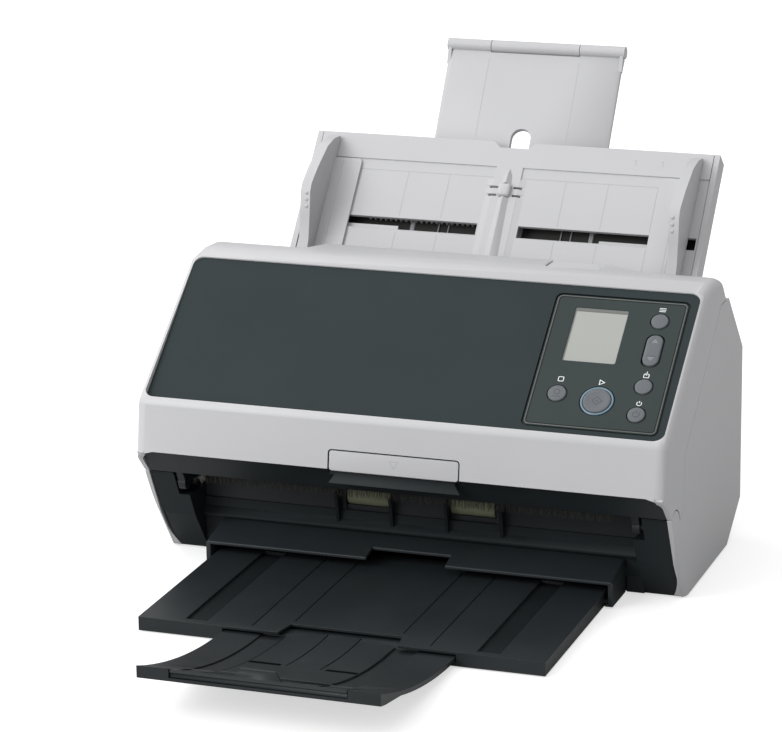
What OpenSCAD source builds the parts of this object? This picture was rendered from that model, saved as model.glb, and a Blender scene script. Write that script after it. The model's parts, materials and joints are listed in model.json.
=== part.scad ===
// Sheet fed document scanner with a tilting feeder cover, a paper chute and a pull-out stacker.
// The front band of the feeder cover stands near y = 0 and the table is z = 0 while a piece is drawn;
// at_centre() then moves every piece so that the origin lies under the middle of the whole object.

/* [Body] */
// Width of the body
body_w = 300; // [290:1:320]
// Depth from the front band to the rear cover
body_d = 170.3; // [166:0.1:180]
// Height of the ridge over the table
ridge_h = 161.2; // [158:0.1:168]
// Wall of the moulded covers
wall = 2.6; // [2.2:0.1:3]
// Radius of the rounded edges of the feeder cover
edge_r = 6; // [4:0.5:7]
// Gap between the feeder cover and the side covers
seam_gap = 0.6; // [0.4:0.1:1]
// Height of the rubber feet
foot_h = 1; // [0.8:0.1:2]
// Diameter of a rubber foot
foot_d = 14; // [10:1:18]
// Depth of the rim that the side covers turn inwards
rim_w = 12; // [8:1:14]

/* [Front] */
// Height of the lower edge of the front band
band_bottom = 68.2; // [66:0.1:72]
// Height of the upper edge of the front band
band_top = 98; // [96:0.5:102]
// How far the band's upper edge leans back
band_lean = 3.9; // [2:0.1:5]
// Half width of the flap in the front band
flap_hw = 37; // [30:0.5:42]
// Height of the flap
flap_h = 12.2; // [10:0.1:14]
// Width of the dark cheeks beside the exit
cheek_w = 20.4; // [18:0.2:22]
// Radius of the exit's upper corners
corner_r = 8; // [5:0.5:10]
// Place of the feeder cover's hinge, back from the band
hinge_y = 22.5; // [21:0.5:25]
// Height of the feeder cover's hinge
hinge_z = 47.5; // [46:0.5:49]
// Diameter of the hinge pins
hinge_pin_d = 4; // [3:0.5:5]

/* [Panel] */
// Rim of the feeder cover beside the front panel
panel_rim = 3.6; // [3:0.2:8]
// Thickness of the panels
panel_t = 2.2; // [1.8:0.1:2.4]
// Depth of the panel's lower edge under the slope
panel_sink = 3.8; // [3:0.1:4.2]
// Corner radius of the front panel
panel_r = 6; // [3:0.5:9]
// Width of the operator panel
op_w = 73; // [70:0.5:76]
// Edge of the front panel round the operator panel
op_edge = 6; // [5:0.1:8]
// Width of the groove round the operator panel
op_groove = 0.9; // [0.6:0.1:1.4]
// Width of the screen
screen_w = 29.4; // [26:0.2:32]
// Length of the screen up the slope
screen_len = 35.6; // [32:0.2:38]
// Diameter of the small round buttons
key_d = 10.2; // [8:0.1:11]
// Diameter of the scan button
scan_d = 15.5; // [13:0.1:17]
// Width of the light ring round the scan button
ring_w = 1.6; // [1.2:0.1:2]
// Travel of the buttons
key_travel = 1; // [0.6:0.1:1.2]
// Gap round a button
key_gap = 0.2; // [0.15:0.05:0.4]

/* [Paper path] */
// Middle of the exit rollers, back from the band
exit_y = 52.5; // [51:0.5:55]
// Height of the middle of the exit rollers
exit_z = 40.5; // [39:0.5:42]
// Radius of the exit rollers
exit_r = 6.5; // [5.5:0.1:7]
// Radius of the feed rollers
feed_r = 7; // [6:0.1:8]
// Radius of the pick rollers
pick_r = 11; // [9:0.2:12]
// Radius of the idler rollers in the feeder cover
idler_r = 5.5; // [4.5:0.1:6]
// Radius of the brake roller
brake_r = 9; // [7:0.2:10]
// Diameter of the roller shafts
shaft_d = 6; // [5:0.5:7]
// Clearance of a shaft in its bush
run_gap = 0.05; // [0.02:0.01:0.1]
// Distance from the exit rollers to the feed rollers
feed_at = 60; // [56:0.5:64]
// Distance from the exit rollers to the pick rollers
pick_at = 93; // [90:0.5:96]
// Distance from the exit rollers to the middle of the glass
glass_at = 34; // [30:0.5:37]
// Width of the glass along the path
glass_w = 16; // [12:0.5:18]
// Thickness of the paper guides
guide_t = 2.2; // [1.8:0.1:2.6]
// Bristles of the static brush
bristles = 300; // [300:10:400]

/* [Chute] */
// Slope of the chute
chute_a = 49; // [46:0.5:52]
// Distance from the inside of the body to the chute
chute_inset = 25.2; // [22:0.2:27]
// Length of the chute over the guide slots
chute_up = 54; // [50:0.5:58]
// Distance from the chute's side to a side guide
guide_inset = 15.2; // [14:0.2:22]
// Thickness of a side guide
guide_w = 6; // [4:0.5:7]
// Height of the side guides over the chute
guide_h = 27.4; // [22:0.2:30]
// Travel of each side guide
guide_travel = 70; // [50:1:70]
// Slope of the chute extension
ext_a = 56; // [55:0.5:58]
// Half width of the chute extension
ext_hw = 53; // [48:0.5:54]
// Length of the chute extension over the chute
ext_up = 62; // [50:0.5:70]
// Thickness of the chute extension
ext_t = 3.6; // [3.4:0.1:4]
// Half width of the second extension
ext2_hw = 27; // [22:0.5:32]
// Radius of the rolled bar on the extensions
bar_r = 3.6; // [3:0.1:4.5]

/* [Stacker] */
// Distance from a cheek to the stacker tray
tray_inset = 15.3; // [14:0.1:21]
// Reach of the tray in front of the band
tray_reach = 86.4; // [70:0.2:95]
// Height of the tray's deck
tray_top = 8.4; // [8:0.1:9.4]
// Underside of the tray over the table
tray_low = 0.7; // [0.5:0.1:1.2]
// Thickness of the tray's deck
deck_t = 1.4; // [1.2:0.1:1.6]
// Distance from the tray's side to the stacker extension
out_inset = 48.1; // [42:0.1:56]
// Reach of the stacker extension in front of the band
out_reach = 198; // [180:0.5:205]
// Radius of the extension's upward curve
out_r = 365; // [340:5:420]
// Thickness of the stacker extension
out_t = 2.4; // [2:0.1:2.6]
// Distance from the extension's side to the flip-up paper stop
stop_inset = 17.6; // [14:0.1:27]
// Length of the paper stop
stop_len = 21; // [16:0.5:24]

/* [Hidden] */
$fn = 48;

// Colours of the object
shell_white = "#d6d6d9";
panel_dark = "#3a4444";
charcoal = "#262b2d";
key_grey = "#7d8085";
steel = "#a9adb2";
rubber = "#b9b878";
rubber_dark = "#3c3f42";
board_green = "#2f6b46";

// Half width of the body and of its inside
hw = body_w / 2;
in_hw = hw - wall;
// Half widths that follow the body
cheek_hw = in_hw - cheek_w;
panel_hw = hw - panel_rim;
chute_hw = in_hw - chute_inset;
guide_hw = chute_hw - guide_inset;
tray_hw = cheek_hw - tray_inset;
out_hw = tray_hw - out_inset;
stop_hw = out_hw - stop_inset;
// Cut allowance that keeps faces from meeting
eps = 0.5;
// Air gap between moving faces
air = 0.3;
// Gap that a sheet of paper takes between two rollers
nip = 0.3;

// Points of the side outline, as [back, up]
band_low = [1.5, band_bottom];
band_high = [band_low.x + band_lean, band_top];
slope_top = [87.5, ridge_h - 2.1];
ridge_front = [104, ridge_h];
ridge_back = [118, ridge_h - 0.8];
cover_back = [124.5, ridge_h - 3.2];
cover_tail = [134.5, ridge_h - 15.8];
knuckle_r = 10;
function knuckle_pt(a) = [hinge_y + knuckle_r * cos(a), hinge_z + knuckle_r * sin(a)];
knuckle = [for (a = [138 : -10 : 8]) knuckle_pt(a)];
seam_front = knuckle_pt(138);
seam_low = knuckle_pt(8);
seam_heel = [hinge_y + 18.3, hinge_z + 5.9];
seam_bend = [band_high.x + 36.8, band_high.y - 15.1];
seam_top = [slope_top.x + 29.1, slope_top.y - 13.7];
rear_high = [body_d, ridge_h - 54.4];
rear_low = [body_d, 21.4];
bay_y = 48;
belly_back = [body_d - 31.9, foot_h];
side_back = belly_back.x - 1.4;
belly_front = [bay_y - 0.5, foot_h];
cheek_front = [30, 25];

// Slope of the feeder cover and places on it
slope_a = atan2(slope_top.y - band_high.y, slope_top.x - band_high.x);
function along(p, a, t, h = 0) = [p.x + t * cos(a) - h * sin(a), p.y + t * sin(a) + h * cos(a)];
function slope_pt(t, h = 0) = along(band_high, slope_a, t, h);
panel_a = slope_a + 1.7;
panel_start = 3.2;
panel_at = slope_pt(panel_start, -panel_sink);
panel_len = norm(slope_top - band_high) - panel_start + 0.06;
op_len = panel_len - 2 * op_edge - 0.7;
op_x = panel_hw - op_edge + 0.6 - op_w / 2;

// Chute and its extension
chute_at = [body_d + 16.9, ridge_h + 3.1];
function chute_pt(v, h = 0) = along(chute_at, chute_a, v, h);
chute_low = -64;
chute_face = -0.8;
chute_t = 2.2;
chute_deep = -12;
chute_skin = 2;
chute_strip = 3.2;
plate_hw = chute_hw - chute_strip;
ext_at = chute_pt(chute_up + 2, -7.5);
function ext_pt(s, h = 0) = along(ext_at, ext_a, s, h);
ext_hidden = 22;
ext_travel = 50;
pocket_low = -(ext_hidden + ext_travel + 4);
pocket_h = -(ext_t + 0.6);
pocket_v = 9;

// Straight paper path from the top of the exit rollers to the foot of the chute
path_end = chute_pt(chute_low - 3);
exit_at = [exit_y, exit_z];
path_span = norm(path_end - exit_at);
path_a = atan2(path_end.y - exit_z, path_end.x - exit_y) - asin(exit_r / path_span);
path_at = along(exit_at, path_a, 0, exit_r);
function path_pt(t, h = 0) = along(path_at, path_a, t, h);
path_len = norm(path_end - path_at);
feed_c = path_pt(feed_at, -feed_r);
pick_c = path_pt(pick_at, -pick_r);
motor_c = [100, 34];
lower_face = -0.5;
upper_face = 1.2;

// Rollers: middle from the centre line, and length
exit_x = 30;
exit_len = 25.5;
feed_x = 38;
feed_len = 30;
pick_x = 14;
pick_len = 20;
roller_gap = 0.8;

// Inner side frames
frame_t = 2.5;
frame_x = cheek_hw;
frame_z = [rear_low.y + 4.6, rear_high.y - 2.8];
arm_gap = 0.6;
arm_x = cheek_hw + arm_gap;
arm_t = 4;
arm_pocket = [cheek_hw - eps, arm_x + arm_t + 1.7];
bush_d = shaft_d + 3;
pulley_x = frame_x + frame_t + 2.7;
pulley_w = 8;
pulley_r = 8;
motor_pulley_r = 5;
belt_t = 1.4;
belt_w = 5.4;

// Tray channel under the body
tray_back = 45;
tray_travel = 95;
tail_y = bay_y + tray_travel + 9;
channel_hw = tray_hw + 2.3;
channel_top = tray_top + 2.1;
plate_t = 2;
lip_w = 1.9;
lip_t = 1.4;
hood_y = 20;
hood_low = 13;
hood_t = 2;
hood_rise = 5.5;
tongue_top = tray_top - deck_t - 1.4;
out_from = -(tray_reach - 2.4);
out_back = -20;
out_lead = 11;
out_travel = 18;
function out_z(y) = tongue_top + sqrt(pow(out_r, 2) - pow(out_lead, 2))
  - sqrt(pow(out_r, 2) - pow(y - out_from - out_lead, 2));
stop_y = -out_reach + stop_len;
stop_a = -atan2(out_z(-out_reach) - out_z(stop_y), stop_len);
stop_t = 1.6;

// The whole object reaches from the stacker extension to the rolled bar
bar_c = ext_pt(ext_up, -0.5);
centre_y = (bar_c.x + bar_r - out_reach) / 2;

// Frames of drawing
module at_centre() { translate([0, -centre_y, 0]) children(); }
module yz(x0, x1) { translate([x0, 0, 0]) rotate([90, 0, 90]) linear_extrude(x1 - x0) children(); }
module both_sides() {
  children();
  mirror([1, 0, 0]) children();
}
module on_plane(p, a) { translate([0, p.x, p.y]) rotate([a, 0, 0]) children(); }
module on_path() { on_plane(path_at, path_a) children(); }
module on_panel() { on_plane(panel_at, panel_a) children(); }
module on_chute() { on_plane(chute_at, chute_a) children(); }
module on_ext() { on_plane(ext_at, ext_a) children(); }
module box(x, y, z) { translate([x[0], y[0], z[0]]) cube([x[1] - x[0], y[1] - y[0], z[1] - z[0]]); }
module slab(half, y, z) { box([-half, half], y, z); }
module rod(p, r, x0, x1) { translate([x0, p.x, p.y]) rotate([0, 90, 0]) cylinder(r = r, h = x1 - x0); }
module rounded(w, l, r) {
  square([w - 2 * r, l], center = true);
  square([w, l - 2 * r], center = true);
  for (x = [-1, 1], y = [-1, 1]) translate([x * (w / 2 - r), y * (l / 2 - r)]) circle(r);
}

// Base

module bottom_plate() color(charcoal) at_centre() {
  slab(channel_hw + plate_t, [bay_y, tail_y], [channel_top, channel_top + plate_t]);
  both_sides() {
    box([channel_hw, channel_hw + plate_t], [bay_y, side_back], [foot_h, channel_top]);
    box([channel_hw, in_hw], [bay_y, side_back], [foot_h, foot_h + plate_t]);
    box([channel_hw - lip_w, channel_hw], [bay_y, side_back], [foot_h, foot_h + lip_t]);
  }
}

module rubber_feet() color(rubber_dark) at_centre()
  for (x = [-1, 1], y = [bay_y + foot_d, side_back - foot_d])
    translate([x * (channel_hw + plate_t + in_hw) / 2, y, 0]) cylinder(d = foot_d, h = foot_h);

side_outline = concat(
  [cheek_front, belly_front, belly_back, rear_low, rear_high, cover_tail, seam_top, seam_bend, seam_heel],
  [for (k = [len(knuckle) - 1 : -1 : 0]) knuckle[k]]
);

module side_cover() {
  difference() {
    yz(hw - rim_w, hw) polygon(side_outline);
    yz(hw - rim_w - eps, in_hw) offset(delta = -wall) polygon(side_outline);
    box([hw - rim_w - eps, in_hw], [0, bay_y + plate_t], [0, ridge_h]);
    box([hw - rim_w - eps, in_hw], [0, side_back], [0, foot_h + plate_t]);
  }
}

module left_side_cover() color(shell_white) at_centre() mirror([1, 0, 0]) side_cover();
module right_side_cover() color(shell_white) at_centre() side_cover();

socket_z = 34;
board_y = body_d - 12.7;
rear_in = body_d - wall;
rib_x = chute_hw - 26.2;
board_hw = frame_x - 35;
inlet_x = 22 - board_hw;
usb_x = inlet_x + 30;
lan_x = inlet_x + 58;
board_span = [socket_z - 6, rear_high.y - 10.8];
screw_x = frame_x - 2;
screw_z = [frame_z[0] + 10, frame_z[1] - 10];
screw_d = 3;
screw_head_d = 5.6;
screw_head_t = 1.6;

module rear_cover() color(shell_white) at_centre() {
  difference() {
    union() {
      slab(hw - rim_w, [rear_in, body_d], [rear_low.y, rear_high.y]);
      slab(hw - rim_w, [rear_in - 10, body_d], [rear_high.y - wall, rear_high.y]);
      yz(-hw + rim_w, hw - rim_w)
        polygon([[tail_y, channel_top], [tail_y + wall, channel_top], rear_low, [rear_in, rear_low.y]]);
      both_sides() yz(chute_hw + seam_gap, hw - rim_w) polygon([
        [rear_high.x, rear_high.y - wall / 2], rear_high, cover_tail, [cover_tail.x, cover_tail.y - 3.6],
        [rear_high.x - 3.6, rear_high.y - wall / 2]
      ]);
      both_sides() yz(rib_x, rib_x + 4) polygon([
        [rear_in, rear_high.y - 18.8], [rear_in, rear_high.y], chute_pt(chute_low + 12, chute_deep),
        chute_pt(chute_low, chute_deep)
      ]);
      for (x = [8 - board_hw, board_hw - 8], z = [board_span[0] + 10, board_span[1] - 8])
        translate([x, board_y, z]) rotate([-90, 0, 0]) cylinder(d = 7, h = rear_in - board_y);
    }
    box([inlet_x - 7, inlet_x + 7], [rear_in - eps, body_d + eps], [socket_z - 6, socket_z + 6]);
    box([usb_x - 6.2, usb_x + 6.2], [rear_in - eps, body_d + eps], [socket_z - 6, socket_z + 6]);
    box([lan_x - 8.2, lan_x + 8.2], [rear_in - eps, body_d + eps], [socket_z - 7, socket_z + 7]);
    for (x = [-1, 1], z = screw_z) translate([x * screw_x, rear_in - eps, z]) rotate([-90, 0, 0]) {
      cylinder(d = screw_d, h = wall + 2 * eps);
      translate([0, 0, eps + wall - screw_head_t]) cylinder(d = screw_head_d, h = screw_head_t + eps);
    }
  }
}

module case_screws() color(steel) at_centre()
  for (x = [-1, 1], z = screw_z) translate([x * screw_x, body_d, z]) rotate([90, 0, 0]) difference() {
    union() {
      cylinder(d = screw_head_d, h = screw_head_t);
      cylinder(d = screw_d, h = 10);
    }
    for (a = [0, 90]) rotate(a) translate([-1.4, -0.4, -eps]) cube([2.8, 0.8, 0.8 + eps]);
  }

exit_wall_t = 2;
exit_wall_top = exit_z - 8.5;
fin_x = [exit_x - exit_len / 2 - 1.25, exit_x + exit_len / 2 + 4.75];
shelf_z = exit_z - 12.3;
shelf_y = bay_y - 5.5;
pulley_room = pulley_r + belt_t + 1.1;

module exit_bezel() color(charcoal) at_centre() difference() {
  union() {
    both_sides() yz(cheek_hw, in_hw) offset(delta = -0.6) polygon([
      seam_front, cheek_front, belly_front, [bay_y + 0.6, foot_h], [bay_y + 0.6, seam_low.y], seam_low
    ]);
    slab(cheek_hw, [bay_y - exit_wall_t, bay_y], [channel_top, exit_wall_top]);
    yz(-cheek_hw - eps, cheek_hw + eps) polygon([
      [bay_y - 1, shelf_z], [shelf_y, shelf_z - 4.8], [shelf_y, shelf_z - 6], [bay_y - 1, shelf_z - 7.2]
    ]);
    both_sides() for (x = fin_x) yz(x - 0.9, x + 0.9) polygon([
      [bay_y - 7, exit_z + 1], [bay_y - 4, exit_z - 15], [bay_y - 1, exit_z - 15], [bay_y - 1, exit_z + 4]
    ]);
  }
  both_sides() {
    rod([hinge_y, hinge_z], hinge_pin_d / 2, cheek_hw - eps, cheek_hw + 12);
    box(arm_pocket, [0, bay_y + 1], [hinge_z - 8, ridge_h]);
    rod(exit_at, pulley_room, cheek_hw + 1.2, pulley_x + pulley_w + 1.8);
  }
}

module hinge_pins() color(steel) at_centre()
  both_sides() rod([hinge_y, hinge_z], hinge_pin_d / 2, arm_x + air, cheek_hw + 12);

module stacker_hood() color(charcoal) at_centre() difference() {
  union() {
    yz(-channel_hw - 3, channel_hw + 3) polygon([
      [hood_y, hood_low], [bay_y - exit_wall_t, hood_low + hood_rise],
      [bay_y - exit_wall_t, hood_low + hood_rise + hood_t], [hood_y, hood_low + hood_t]
    ]);
    both_sides() yz(channel_hw, channel_hw + 3) polygon([
      [hood_y, foot_h], [bay_y - exit_wall_t, foot_h],
      [bay_y - exit_wall_t, hood_low + hood_rise], [hood_y, hood_low]
    ]);
    both_sides()
      box([channel_hw - lip_w, channel_hw + 1], [hood_y, bay_y - exit_wall_t], [foot_h, foot_h + lip_t]);
  }
  slab(22.5, [hood_y - eps, hood_y + 11], [hood_low - eps, hood_low + 10]);
}

module frame_plate() {
  difference() {
    union() {
      yz(frame_x, frame_x + frame_t) polygon([
        [bay_y, foot_h + plate_t], [side_back, foot_h + plate_t], [rear_in, frame_z[0]],
        [rear_in, frame_z[1]], chute_pt(chute_low - 5, chute_deep), path_pt(path_len - 12.4, lower_face),
        path_pt(6, lower_face), [bay_y, exit_z]
      ]);
      box([screw_x - 4, frame_x + frame_t], [rear_in - frame_t, rear_in], [frame_z[0] + 2, frame_z[1] - 2]);
    }
    for (c = [exit_at, feed_c, pick_c]) rod(c, bush_d / 2, frame_x - eps, frame_x + frame_t + eps);
    for (z = screw_z) translate([screw_x, rear_in - frame_t - eps, z]) rotate([-90, 0, 0])
      cylinder(d = screw_d, h = frame_t + 2 * eps);
  }
}

motor_shaft_d = 3;

module left_frame() color(steel) at_centre() difference() {
  mirror([1, 0, 0]) frame_plate();
  rod(motor_c, 5, -frame_x - frame_t - eps, -frame_x + eps);
}
module right_frame() color(steel) at_centre() frame_plate();

module shaft_bushes() color("#e6e3da") at_centre() both_sides()
  for (c = [exit_at, feed_c, pick_c]) difference() {
    union() {
      rod(c, bush_d / 2, frame_x, frame_x + frame_t);
      rod(c, bush_d / 2 + 1, frame_x + frame_t, frame_x + frame_t + 1);
    }
    rod(c, shaft_d / 2 + run_gap, frame_x - eps, frame_x + frame_t + 1 + eps);
  }

module roller_holes(x, len, t, r) {
  half = len / 2 + roller_gap;
  for (s = [-1, 1]) box([s * x - half, s * x + half], [t - r - 1, t + r + 1], [-2 * r, 2 * r]);
}

module lower_guide() color(charcoal) at_centre() difference() {
  union() {
    on_path() slab(frame_x, [-1, path_len - 2], [lower_face - guide_t, lower_face]);
    slab(frame_x, [bay_y - 1, bay_y + 1], [exit_wall_top, path_at.y - 0.6]);
  }
  on_path() {
    roller_holes(exit_x, exit_len, 0, exit_r + 4);
    roller_holes(feed_x, feed_len, feed_at, feed_r);
    roller_holes(pick_x, pick_len, pick_at, pick_r);
    slab(frame_x - 14, [glass_at - glass_w / 2, glass_at + glass_w / 2], [-10, 10]);
  }
}

module lower_glass() color("#9fb4b8") at_centre() on_path()
  slab(frame_x - 14, [glass_at - glass_w / 2, glass_at + glass_w / 2], [lower_face - guide_t, lower_face]);

module sensor_box() {
  difference() {
    slab(frame_x - 11, [glass_at - glass_w / 2 - 2, glass_at + glass_w / 2 + 2], [0, 15]);
    slab(frame_x - 18, [glass_at - 4, glass_at + 4], [-eps, 4]);
  }
}

module lower_sensor() color("#33383a") at_centre() on_path()
  translate([0, 0, lower_face - guide_t]) mirror([0, 0, 1]) sensor_box();

module pulley(c, r) {
  rod(c, r, -pulley_x - pulley_w + 1, -pulley_x - 1);
  for (x = [-pulley_x - pulley_w, -pulley_x - 1]) rod(c, r + 0.9, x, x + 1);
}

module drive_shaft(c) {
  rod(c, shaft_d / 2, -pulley_x - pulley_w, frame_x + frame_t + 2);
  pulley(c, pulley_r);
}

module roller_pair(c, r, x, len, bore) {
  for (s = [-1, 1]) difference() {
    rod(c, r, s * x - len / 2, s * x + len / 2);
    rod(c, bore, s * x - len / 2 - eps, s * x + len / 2 + eps);
  }
}

module exit_shaft() color(steel) at_centre() drive_shaft(exit_at);
module exit_rollers() color(rubber) at_centre()
  roller_pair(exit_at, exit_r, exit_x, exit_len, shaft_d / 2);
module feed_shaft() color(steel) at_centre() drive_shaft(feed_c);
module feed_rollers() color(rubber_dark) at_centre()
  roller_pair(feed_c, feed_r, feed_x, feed_len, shaft_d / 2);
module pick_shaft() color(steel) at_centre() drive_shaft(pick_c);
module pick_rollers() color(rubber_dark) at_centre()
  roller_pair(pick_c, pick_r, pick_x, pick_len, shaft_d / 2);

module drive_motor() color("#44484c") at_centre() {
  rod(motor_c, 15, -frame_x, -frame_x + 28);
  rod(motor_c, 4.9, -frame_x - frame_t, -frame_x);
}

module motor_pulley() color("#d8d4c8") at_centre() {
  pulley(motor_c, motor_pulley_r);
  rod(motor_c, motor_shaft_d / 2, -pulley_x, -frame_x - frame_t - 0.1);
}

module belt_loop(grow) {
  hull() {
    for (c = [exit_at, feed_c, pick_c]) translate(c) circle(pulley_r + grow);
    translate(motor_c) circle(motor_pulley_r + grow);
  }
}

module drive_belt() color("#1d1f20") at_centre()
  yz(-pulley_x - pulley_w / 2 - belt_w / 2, -pulley_x - pulley_w / 2 + belt_w / 2) difference() {
    belt_loop(belt_t);
    belt_loop(0.1);
  }

module main_board() color(board_green) at_centre() {
  slab(board_hw, [board_y - 1.6, board_y], board_span);
  box([62 - board_hw, 94 - board_hw], [board_y - 4.6, board_y - 1.6],
    [board_span[1] - 40, board_span[1] - 12]);
  box([board_hw - 62, board_hw - 40], [board_y - 4, board_y - 1.6], [board_span[1] - 36, board_span[1] - 18]);
  for (x = [20 - board_hw, 34 - board_hw]) translate([x, board_y - 1.6, board_span[1] - 18])
    rotate([90, 0, 0]) cylinder(d = 8, h = 12);
}

module socket(x, w, h, bore_w, bore_h) {
  difference() {
    box([x - w / 2, x + w / 2], [board_y, body_d], [socket_z - h / 2, socket_z + h / 2]);
    translate([x - bore_w / 2, body_d - 9, socket_z - bore_h / 2]) cube([bore_w, 9 + eps, bore_h]);
  }
}

module power_inlet() color("#17191a") at_centre() difference() {
  box([inlet_x - 7, inlet_x + 7], [board_y, body_d], [socket_z - 6, socket_z + 6]);
  translate([inlet_x, body_d + eps, socket_z]) rotate([90, 0, 0]) cylinder(d = 6.4, h = 9 + eps);
}

module data_sockets() color("#b4b7ba") at_centre() {
  socket(usb_x, 12.4, 12, 8.6, 7.8);
  socket(lan_x, 16.4, 14, 12, 8.5);
}

// Chute

slot_in = 12.4;
slot_v = [-7.4, 0];
strip_v = 37.5;
ridge_hw = 8;

module chute_plate() color(shell_white) at_centre() on_chute() difference() {
  union() {
    slab(plate_hw - air, [chute_low, chute_up], [chute_face - chute_t, chute_face]);
    slab(plate_hw - air, [strip_v, chute_up], [chute_face, 0]);
    slab(ridge_hw, [-40, strip_v], [chute_face, 0]);
  }
  both_sides() box([slot_in, plate_hw - 1.5], slot_v, [-9, 2]);
  translate([0, chute_up, -9]) linear_extrude(12)
    polygon([[-13.5, 1], [-8.5, -3.8], [8.5, -3.8], [13.5, 1]]);
  both_sides() for (v = [18.4, 23.6]) box([4.6, 9.6], [v, v + 1.2], [-9, 2]);
}

pinion_v = (slot_v[0] + slot_v[1]) / 2;
pinion_teeth = 12;
tooth_pitch = PI;
pinion_r = pinion_teeth * tooth_pitch / (2 * PI);
rack_h = [-8.6, -6.4];
pinion_pin_d = 4;

pocket_x = [ext_hw + 1, ext_hw + 3];

module chute_back() color(shell_white) at_centre() {
  on_chute() {
    slab(chute_hw, [chute_low, pocket_v], [chute_deep, chute_deep + chute_skin]);
    both_sides() {
      box([pocket_x[0], chute_hw], [pocket_v - 1, chute_up], [chute_deep, chute_deep + chute_skin]);
      box([plate_hw, chute_hw], [chute_low, chute_up], [chute_deep, -0.2]);
      box([pocket_x[0], chute_hw - 1], [chute_up - 2, chute_up], [chute_deep, chute_face - chute_t]);
      box([plate_hw - 4, chute_hw - 1], [-40, -20], [chute_deep + 1, chute_face - chute_t]);
    }
    translate([0, pinion_v, chute_deep + 1]) cylinder(d = pinion_pin_d, h = rack_h[1] + air - chute_deep - 1);
    translate([0, pinion_v, chute_deep + 0.5]) cylinder(d = 8, h = rack_h[0] - chute_deep - 0.6);
  }
  both_sides() yz(pocket_x[0], pocket_x[1]) polygon([
    chute_pt(chute_up - 1, chute_face - chute_t - 1), chute_pt(pocket_v, chute_deep + chute_skin + 1),
    chute_pt(pocket_v - 14, chute_deep + chute_skin / 2), ext_pt(pocket_low + 1, pocket_h - chute_skin / 2),
    ext_pt(-2, pocket_h - chute_skin / 2)
  ]);
  on_ext() slab(pocket_x[1] + 0.4, [pocket_low, -1], [pocket_h - chute_skin, pocket_h]);
}

module chute_clip() color(shell_white) at_centre() on_chute() difference() {
  slab(4.3, [17.6, 26], [0, 1.2]);
  slab(2.6, [19.6, 22], [0.6, 2]);
}

// One straight-flanked tooth on the line y = 0, pointing to -y
module rack_tooth() {
  polygon([[-1.15, eps], [-1.15, 0.9], [1.15, 0.9], [1.15, eps], [0.3, -0.85], [-0.3, -0.85]]);
}

module guide_pinion() color("#d8d4c8") at_centre() on_chute() translate([0, pinion_v, rack_h[0]])
  linear_extrude(rack_h[1] - rack_h[0]) difference() {
    union() {
      circle(pinion_r - 1.1);
      for (k = [0 : pinion_teeth - 1]) rotate(k * 360 / pinion_teeth)
        polygon([
          [-0.85, pinion_r - 1.4], [0.85, pinion_r - 1.4], [0.55, pinion_r], [0.25, pinion_r + 0.8],
          [-0.25, pinion_r + 0.8], [-0.55, pinion_r]
        ]);
    }
    circle(pinion_pin_d / 2 + run_gap);
  }

guide_in = 16.6;
guide_low = -30;
guide_up = 36.5;
guide_under = chute_face + air;
neck_x = [guide_hw - 13, guide_hw - 3];
neck_v = [slot_v[0] + air, slot_v[1] - air];
bar_len = 30;
rack_lead = 12;

module rack() {
  first = ceil((1.2 - rack_lead) / tooth_pitch - 0.5);
  last = floor((guide_travel + rack_lead - 1.2) / tooth_pitch - 0.5);
  translate([0, pinion_r, 0]) {
    translate([-rack_lead, 0.9]) square([neck_x[1] + rack_lead, 3]);
    for (k = [first : last]) translate([(k + 0.5) * tooth_pitch, 0]) rack_tooth();
  }
}

// Right guide, with its rack on the side of the pinion that flip chooses
module side_guide(flip, bar_top) {
  rack_v = pinion_v + flip * (pinion_r + 3.9);
  box([guide_hw - guide_in, guide_hw + 1], [guide_low, guide_up], [guide_under, 1]);
  yz(guide_hw, guide_hw + guide_w) polygon([
    [guide_low, guide_under], [guide_low, guide_h - 17], [-24, guide_h - 15.4], [-12, guide_h - 8.4],
    [-1, guide_h - 0.9], [4.6, guide_h], [17, guide_h - 3.4], [35, guide_h - 10.4], [44, guide_h - 17.4],
    [chute_up - 4, air + 2], [chute_up - 4, air], [strip_v - 2 * air, air], [strip_v - 2 * air, guide_under]
  ]);
  box(neck_x, neck_v, [rack_h[0], 1]);
  box([guide_hw - guide_in - bar_len, neck_x[1]], [neck_v[0], neck_v[0] + 3.2], [bar_top - 1.1, bar_top]);
  box(neck_x, flip > 0 ? [neck_v[0], rack_v] : [rack_v, neck_v[1]], rack_h);
  translate([0, pinion_v, rack_h[0]]) linear_extrude(rack_h[1] - rack_h[0])
    if (flip > 0) rack();
    else mirror([0, 1, 0]) rack();
}

module left_guide() color(shell_white) at_centre() on_chute() mirror([1, 0, 0]) side_guide(1, -3.3);
module right_guide() color(shell_white) at_centre() on_chute() side_guide(-1, -4.7);

ext2_t = 1.4;
ext2_h = -ext_t + 1.1;
grip_r = 6;
grip_s = 4.5;

// Arched finger hole through both extensions
module grip_hole() translate([0, grip_s, -ext_t - eps]) linear_extrude(ext_t + 2 * eps) union() {
  circle(r = grip_r);
  translate([-grip_r, -grip_r - 1.2]) square([2 * grip_r, grip_r + 1.2]);
}

module chute_extension() color(shell_white) at_centre() on_ext() {
  difference() {
    slab(ext_hw, [-ext_hidden, ext_up], [-ext_t, 0]);
    slab(ext2_hw - air, [-ext_hidden - eps, ext_up + eps], [ext2_h - 0.1, ext2_h + ext2_t + 0.1]);
    slab(ext2_hw + air, [ext_up - bar_r - 2 * air, ext_up + eps], [-ext_t - eps, eps]);
    grip_hole();
  }
  both_sides() rod([ext_up, -0.5], bar_r, ext2_hw + air, ext_hw + 1.3);
}

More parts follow.
